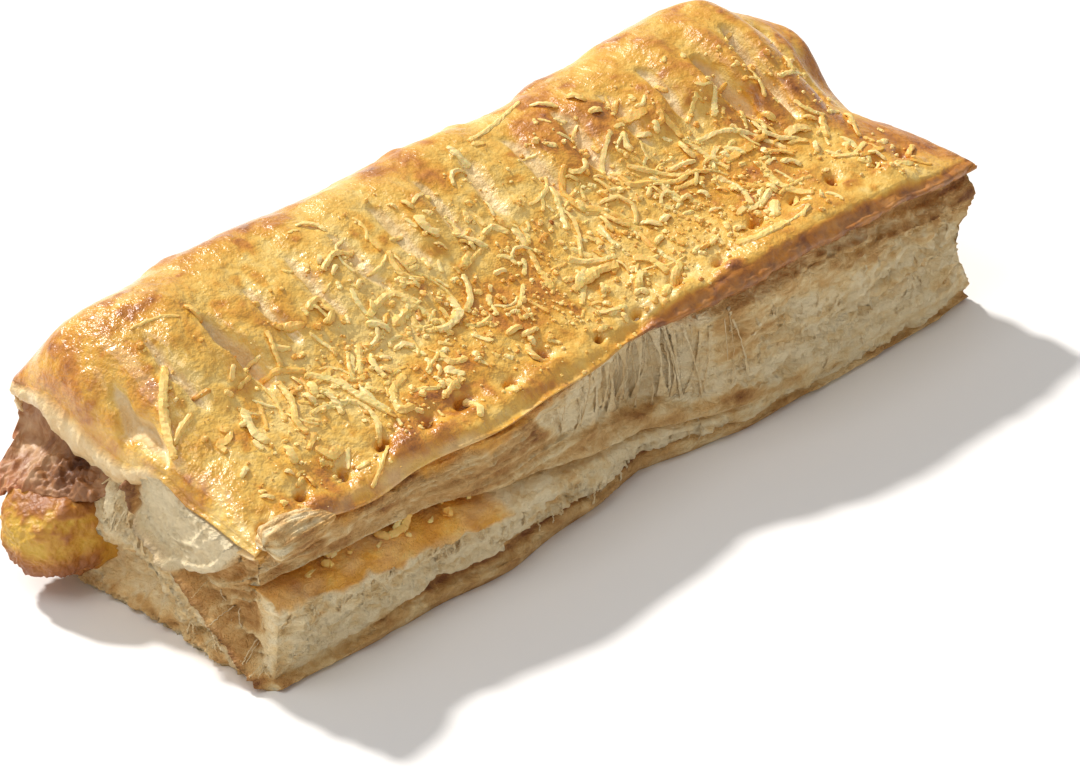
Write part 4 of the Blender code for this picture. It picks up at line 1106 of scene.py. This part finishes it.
ham_finish, tint, link = start_finish("baked_ham", 0.55, {"Coat Roughness": 0.35, "Coat Weight": 0.05})
flecks = grain(tint, 520, 4, 0.65, 0.5, (1.0, 1.0, 0.5))
meat = (read(tint, "toast") + (flecks - 0.5) * 0.6).ramp(
    (0.1, (0.74, 0.56, 0.37)), (0.35, (0.58, 0.36, 0.19)), (0.6, (0.38, 0.18, 0.075)),
    (0.85, (0.21, 0.08, 0.026)), (1.0, (0.13, 0.045, 0.016)),
)
torn = flecks.ramp((0.3, (0.58, 0.29, 0.13)), (0.55, (0.44, 0.14, 0.048)), (0.8, (0.26, 0.055, 0.018)))
link("Base Color", blend_colours(tint, read(tint, "red"), meat, torn))
link("Roughness", 0.5 + (flecks - 0.5) * 0.3)
link("Normal", raise_surface(tint, flecks * 1.5, 0.6, 0.0005))
ham.data.materials.append(ham_finish)

# The grated cheese: strands and chips that were strewn on the washed crust and baked until they
# stuck and their tips browned. Each row holds a width and then the x, y of points along the strand.
STRAND_COUNT, CRUMB_COUNT = 500, 1400
MIDDLE_ROW = 60  # the row of the crust's top that a strand's column is looked up in
STRANDS = (
    (1.5, 134, 35, 131, 32, 128, 29), (1.3, 122, 27, 127, 26.5, 132, 23.5, 135, 19),
    (1.2, 109, 35, 106, 33, 103, 30), (1.4, 107, 29, 110, 26.5, 115, 23),
    (1.5, 105, 28.5, 105, 26.5, 108, 25, 112, 23), (1.4, 111, 22, 117, 21),
    (1.6, 97, 34, 94, 30, 94, 27.5, 97, 25, 99, 21, 98.5, 14), (1.1, 97.5, 26, 101, 25, 102, 23, 100, 20),
    (1.5, 121, 16, 126, 13.5), (1.5, 126, 13.5, 121, 11.5, 118, 11.5),
    (2.0, 128, 19, 127, 15, 127.5, 11, 130, 8), (1.2, 140, 13, 143, 11.5, 148, 13), (1.9, 146, 21, 143, 17),
    (1.7, 148, 6, 151, 4.6), (2.0, 123, 22, 130, 22), (2.5, 123, 10.4, 120, 7.6),
    (2.0, 110, 6.5, 114, 4.8, 120, 4.6), (1.7, 94, 15, 96, 13.4, 96.5, 9.4), (1.7, 100, 9.5, 95, 7, 92, 6.4),
    (1.5, 93, 12.4, 90, 9.8), (2.1, 137, 21, 142, 20), (1.5, 120, 35, 119, 32.5, 116, 32.5),
    (1.2, 145, 30, 149.5, 30, 154, 32), (2.2, 109, 45, 110.5, 42), (1.2, 103, 50, 96, 48, 87, 46),
    (1.6, 83, 47, 83.5, 42), (1.2, 103, 47.5, 106, 44), (2.3, 81, 30, 80, 26),
    (2.1, 66, 37, 65.5, 34.5, 67, 33), (1.4, 70, 32.5, 74, 28.5), (1.4, 74, 29, 67, 27),
    (1.5, 57, 34, 56, 30, 59, 28), (1.5, 75, 30.5, 77.5, 31, 79, 29), (0.9, 91, 30, 91, 26, 87, 20),
    (1.5, 85, 21, 87, 19, 92, 17), (1.9, 86, 18, 82, 16), (1.8, 100, 9.7, 92, 6), (1.7, 92, 12, 90, 9.5),
    (2.1, 112, 36, 117.5, 35), (1.3, 44, 36, 48, 37.3, 52, 36.6),
    (1.7, 45, 26.5, 49, 28, 52.5, 28, 54, 25, 55, 21), (1.5, 44, 26, 47, 23.5), (2.5, 48.5, 24, 52.5, 25),
    (1.8, 60.5, 24, 60, 21, 56, 19.6, 54, 20), (1.4, 66, 26, 63, 21.5, 61.5, 21),
    (1.7, 51, 17, 51, 14, 54, 13.5), (1.7, 40.5, 24, 36, 19.4), (1.8, 28.5, 24, 31.5, 21, 33, 16, 35, 11.3),
    (1.3, 24, 18, 28, 17.7, 32, 15.5, 32, 11.6, 30, 8.7), (2.0, 42.5, 15.7, 38, 14, 37, 10.7, 39, 10.5),
    (2.3, 49, 13.2, 51, 11), (1.8, 47.5, 11.6, 48.5, 9.4), (1.5, 48.4, 7.8, 48, 4.5, 46.6, 2.7),
    (0.8, 67, 17.7, 70, 17, 69.7, 13.6), (1.1, 72, 17.8, 73.4, 14), (1.3, 38, 23.6, 34, 19),
    (2.2, 81, 15.7, 87, 16.4, 91, 15.6), (2.4, 57, 6.6, 55.7, 3.8),
    (1.3, 36.5, 32, 39.5, 32.5, 40, 30, 37.5, 29), (1.6, 70.4, 29, 66.6, 27),
    (1.9, 9.3, 35.3, 5.5, 32, 2.4, 28, 0.6, 24.3), (1.4, 7, 27.3, 4, 26.6, 1.6, 25.8),
    (1.3, 19, 41.5, 20, 38), (0.8, 9, 43, 14, 41.3, 16.3, 40), (1.2, 9, 29, 12, 28.6),
    (1.3, 27.6, 32, 26.3, 29, 25.4, 26.3), (1.2, 20, 28.8, 21, 26, 21, 23, 19.5, 19),
    (1.6, 22, 26.7, 26, 26, 29, 24.4), (1.5, 23.6, 25, 22.8, 21, 20.6, 17, 21, 15.6),
    (2.0, 15, 23.6, 13.3, 19, 14, 17.2), (1.6, 9, 23, 10.3, 22, 9, 21, 7, 21, 7.3, 19.5),
    (2.0, 15.8, 15.4, 15, 12.3), (2.3, 20.4, 13.2, 21.7, 11, 24, 11.5), (2.0, 28, 22.6, 26.8, 19.6),
    (1.0, 34, 29, 35.7, 24.4), (2.2, 29.4, 32.4, 34, 30.3), (1.5, 39, 31.7, 39.8, 29.8, 38, 28.7),
)

# the shreds, chips and grains that fell on the ledge, written in the same way
LEDGE_SHREDS = (
    (0.9, 19.9, 5.52, 16.6, 4.53, 13.5, 3.97), (1.2, 23.8, 3.84, 25.5, 2.67, 29, 2.6, 31.1, 3.41),
    (0.8, 27, 2.6, 29.5, 3.97), (1.1, 11.9, 3.29, 13.2, 2.36), (1.4, 37.3, 3.53, 38.1, 3.41),
    (1.5, 42.3, 3.6, 43, 3.47), (1.5, 36.6, 0.99, 37.7, 0.74), (1.3, 40.2, 3.78, 41, 3.84),
    (1.3, 41.9, 2.05, 42.7, 2.05), (0.8, 16.8, 2.73, 17.4, 2.85), (0.9, 28.2, 1.18, 28.9, 1.05),
    (0.7, 7.2, 2.05, 7.8, 2.11), (0.7, 33.5, 1.74, 34.1, 1.61), (0.8, 46, 2.54, 46.6, 2.54),
    (0.6, 22, 1.3, 22.5, 1.3),
)


def on_crust(x, y):
    """Point and normal of the crust's skin over x, y, from the grid of its top."""
    across_at = np.clip((y - np.interp(x, crust_spot, lip_y)) / np.interp(x, crust_spot, crust_span), 0, 1)
    skin_x = skin[rims[0] : -rims[1], edge_rows + MIDDLE_ROW, 0]
    column = rims[0] + np.interp(x, skin_x, np.arange(len(skin_x)))
    row = edge_rows + across_at * (CRUST_ROWS - 1)
    i, j = np.floor(column).astype(int), np.floor(row).astype(int)
    s, t = (column - i)[..., None], (row - j)[..., None]
    found = []
    for grid in (skin_points, skin_normals):
        near = grid[i, j] * (1 - t) + grid[i, j + 1] * t
        far = grid[i + 1, j] * (1 - t) + grid[i + 1, j + 1] * t
        found.append(near * (1 - s) + far * s)
    return found


def on_ledge(x, y):
    """Point of the seam's ledge nearest to each x, y, and the way it faces."""
    gaps = np.hypot(ledge_top[:, 0] - np.asarray(x)[..., None], ledge_top[:, 1] - np.asarray(y)[..., None])
    point = ledge_top[gaps.argmin(-1)]
    up = np.broadcast_to([0.0, -0.45, 0.893], point.shape)
    return point + 0.3 * up, up


def strand(path, width, thick, draw, arch=0.0, surface=on_crust):
    """A baked strand: rings along a smoothed path that lies on the crust, sagging into dips, with
    blunt rounded ends and small knobs."""
    run = np.append(0, np.cumsum(np.hypot(*np.diff(path, axis=0).T)))
    count = int(np.clip(run[-1] / 0.42, 7, 34))
    at = np.linspace(0, run[-1], count)
    line = [through(at, *zip(run, part)) if len(path) > 2 else np.interp(at, run, part) for part in path.T]
    line = np.stack(line, -1)
    line += draw.normal(0, 0.05, line.shape)
    point, up = surface(line[:, 0], line[:, 1])
    height = point[:, 2].copy()
    for _ in range(5):
        padded = np.pad(height, 1, mode="edge")
        height = np.maximum(0.25 * padded[:-2] + 0.5 * padded[1:-1] + 0.25 * padded[2:], point[:, 2])
    middle = point.copy()
    middle[:, 2] = height
    middle += up * thick * 0.04
    middle[:, 2] += arch * np.sin(np.linspace(0, math.pi, count))
    along = np.gradient(middle, axis=0)
    along /= np.linalg.norm(along, axis=1, keepdims=True)
    sideways = np.cross(along, up)
    sideways /= np.linalg.norm(sideways, axis=1, keepdims=True)
    above = np.cross(sideways, along)
    end = np.minimum(at, run[-1] - at) / (0.55 * width)
    swell = 1 + 0.1 * np.sin(at * draw.uniform(0.8, 2.2) + draw.uniform(0, 6))
    size = (0.62 + 0.38 * np.sqrt(1 - (1 - np.clip(end, 0, 1)) ** 2)) * swell
    turn = np.linspace(0, 2 * math.pi, RING_POINTS, endpoint=False) + math.pi / 4
    knob = 1 + draw.normal(0, 0.13, (count, RING_POINTS))
    twist = draw.normal(0, 0.5) + draw.normal(0, 0.35) * at[:, None] / 3
    square = 1.06 / np.maximum(np.abs(np.cos(turn + twist)), np.abs(np.sin(turn + twist))) ** 0.85
    cos, sin = np.cos(turn) * square, np.sin(turn) * square
    ring = middle[:, None] + size[:, None, None] * knob[..., None] * (
        0.5 * width * cos[..., None] * sideways[:, None] + 0.5 * thick * sin[..., None] * above[:, None]
    )
    caps = np.stack([middle[0] - along[0] * 0.18 * width, middle[-1] + along[-1] * 0.18 * width])
    return ring.reshape(-1, 3), caps, count


def cheese_density(x, y):
    """How thickly the cheese lies: most on the hump's front and the band before it."""
    share = bump(y, 19, 12.5) * (0.55 + 0.45 * bump(x, 62, 34) + 0.5 * bump(x, 112, 22)) * smooth(x, 3, 14)
    share = share + 0.22 * bump(y, 34, 9) * smooth(x, 30, 60)
    return share * until(x, 150, 159)


draw = np.random.default_rng(11)
skin_normals = outward(skin_points)
skin_normals *= np.where(skin_normals[..., 2:] < 0, -1, 1)
ledge_top = near_front[(near_front[:, 2] > 11.5) & (near_front[:, 2] < 17.0) & (near_front[:, 0] < 52)]
strands = []
for width, *path in STRANDS:
    flat = 0.32 if width > 1.9 else 0.42
    strands.append((np.reshape(path, (-1, 2)), 0.66 * width, flat * width))
while len(strands) < STRAND_COUNT:
    x, y = draw.uniform(2, 158), draw.uniform(4, 46)
    if draw.random() > cheese_density(x, y):
        continue
    long = draw.choice([1.5, 2.3, 3.6, 5.5, 8.5], p=[0.26, 0.29, 0.24, 0.15, 0.06])
    width = draw.uniform(0.4, 1.0)
    heading, bend = draw.uniform(0, 2 * math.pi), draw.normal(0, 0.9)
    steps = np.linspace(-0.5, 0.5, 5)
    angle = heading + bend * steps * min(long / 4, 1.6)
    path = np.cumsum(np.stack([np.cos(angle), np.sin(angle)], -1) * long / 4, 0)
    path += np.array([x, y]) - path.mean(0)
    if path[:, 1].min() > 3.2 and path[:, 0].min() > 1.0 and path[:, 0].max() < 158.5:
        strands.append((path, width, width * draw.uniform(0.45, 0.75)))
points, quads, tris, toasts = [], [], [], []
first = 0
fallen = [(np.reshape(path, (-1, 2)), width, 0.6 * width) for width, *path in LEDGE_SHREDS]
for i, (path, width, thick) in enumerate(fallen + strands):
    path = np.clip(path, (0.3, -2.0), (159.0, 60.0))
    surface = on_ledge if i < len(fallen) else on_crust
    ring, caps, count = strand(path, width, thick, draw, draw.choice([0.0, 0.0, 0.5]), surface)
    more_quads, more_tris = tube_faces(count, RING_POINTS, first)
    points += [ring, caps]
    quads.append(more_quads)
    tris.append(more_tris)
    ends = np.abs(np.linspace(-1, 1, count)) ** 4
    toast = np.repeat(np.clip(draw.normal(0.26, 0.16) + 0.22 * ends, 0, 1), RING_POINTS)
    toasts.append(np.append(toast, [toast[0], toast[-1]]))
    first += len(ring) + 2

# The crumbs between them: small knobbly grains, some in clusters.
BALL_RINGS, BALL_ROUND = 4, 7
level = np.cos(np.linspace(0, math.pi, BALL_RINGS + 2))[1:-1, None]
angle = np.linspace(0, 2 * math.pi, BALL_ROUND, endpoint=False) + np.arange(BALL_RINGS)[:, None]
wide = np.sqrt(1 - level**2)
ball = np.stack(np.broadcast_arrays(wide * np.cos(angle), wide * np.sin(angle), level), -1)
ball = np.concatenate([ball.reshape(-1, 3), [[0, 0, 1], [0, 0, -1]]])
ball_quads, ball_tris = tube_faces(BALL_RINGS, BALL_ROUND)
crumbs = 0
while crumbs < CRUMB_COUNT:
    x, y = draw.uniform(4, 157), draw.uniform(2.6, 44)
    if draw.random() > cheese_density(x, y) + 0.25 * bump(y, 8, 5):
        continue
    for _ in range(draw.integers(1, 5)):
        spot_x, spot_y = np.clip(x + draw.normal(0, 1.1), 2, 158), max(y + draw.normal(0, 1.1), 2.2)
        point, up = on_crust(np.array(spot_x), np.array(spot_y))
        radius = draw.choice([0.16, 0.26, 0.4, 0.6], p=[0.38, 0.36, 0.19, 0.07]) * draw.uniform(0.8, 1.2)
        shape = ball * draw.uniform(0.65, 1.3, 3) * [1, 1, 0.8] * (1 + draw.normal(0, 0.17, (len(ball), 1)))
        points.append(shape * radius + point + up * radius * 0.3)
        quads.append(ball_quads + first)
        tris.append(ball_tris + first)
        toasts.append(np.full(len(ball), np.clip(draw.normal(0.38, 0.2), 0, 1)))
        first += len(ball)
        crumbs += 1
grated = mesh_piece("grated_cheese", np.concatenate(points), np.concatenate(quads), np.concatenate(tris))
grated.data.shade_flat()
keep(grated, toast=np.concatenate(toasts))
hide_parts("pastry")

soft_shine = {"Coat Roughness": 0.3, "Coat Weight": 0.05, "Subsurface Weight": 0.2, "Subsurface Scale": 0.001}
grated_finish, tint, link = start_finish("baked_grated_cheese", 0.48, soft_shine)
clots = grain(tint, 700, 3, 0.6, 0.3)
browning = read(tint, "toast") + (clots - 0.5) * 0.45
cheese_colour = browning.ramp(
    (0.0, (0.97, 0.74, 0.32)), (0.3, (0.95, 0.645, 0.20)), (0.6, (0.86, 0.46, 0.08)),
    (0.85, (0.62, 0.27, 0.03)), (1.0, (0.36, 0.12, 0.015)),
)
link("Base Color", cheese_colour)
link("Roughness", 0.46 + (clots - 0.5) * 0.3)
link("Normal", raise_surface(tint, clots, 0.5, 0.0003))
grated.data.materials.append(grated_finish)

# The camera, the light and the floor. A low sun from behind throws the soft shadow forwards, and a
# bright white room fills the shade.
LOOK_AT, CAMERA_AWAY = np.array([74.126, 16.736, 15.0]), 1.1
camera = bpy.data.objects.new("camera", bpy.data.cameras.new("camera"))
turn, rise = math.radians(45.413), math.radians(32.768)
right = np.array([math.cos(turn), -math.sin(turn), 0.0])
away = np.array([-math.sin(turn) * math.cos(rise), -math.cos(turn) * math.cos(rise), math.sin(rise)])
aim = (LOOK_AT - FRAME_AT) * 0.001
pose = np.eye(4)
pose[:3, :] = np.stack([right, np.cross(away, right), away, aim + away * CAMERA_AWAY], 1)
camera.matrix_world = pose.T.tolist()
camera.data.lens = 224.44
camera.data.clip_end = 50
bpy.context.scene.collection.objects.link(camera)
bpy.context.scene.camera = camera

floor_mesh = bpy.data.meshes.new("floor")
floor_mesh.from_pydata([(-6, -6, 0), (6, -6, 0), (6, 6, 0), (-6, 6, 0)], [], [(0, 1, 2, 3)])
floor = bpy.data.objects.new("floor", floor_mesh)
bpy.context.scene.collection.objects.link(floor)
floor_finish, tint, link = start_finish("pale_floor", 0.7, {"Specular IOR Level": 0.2})
floor_tone = grain(tint, 2.0, 2).between(0, 1)
link("Base Color", blend_colours(tint, floor_tone, (0.90, 0.885, 0.87, 1), (0.905, 0.89, 0.875, 1)))
floor.data.materials.append(floor_finish)
floor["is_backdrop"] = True

sun = bpy.data.objects.new("sun", bpy.data.lights.new("sun", "SUN"))
sun.data.energy = 3.6
sun.data.angle = math.radians(5.0)
sun.data.color = (1.0, 0.975, 0.94)
sun.rotation_euler = (math.radians(-45.6), math.radians(0.5), 0)
bpy.context.scene.collection.objects.link(sun)
window = bpy.data.objects.new("window", bpy.data.lights.new("window", "AREA"))
window.data.shape, window.data.size, window.data.energy = "SQUARE", 0.5, 2.0
window.location = (-0.45, 0.1, 0.8)
window.rotation_euler = (0, math.radians(-29), 0)
bpy.context.scene.collection.objects.link(window)
room = bpy.data.worlds.new("room")
room.use_nodes = True
room.node_tree.nodes["Background"].inputs["Color"].default_value = (1.0, 0.985, 0.965, 1)
room.node_tree.nodes["Background"].inputs["Strength"].default_value = 0.41
bpy.context.scene.world = room
bpy.context.scene.view_settings.view_transform = "Standard"

low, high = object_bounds()
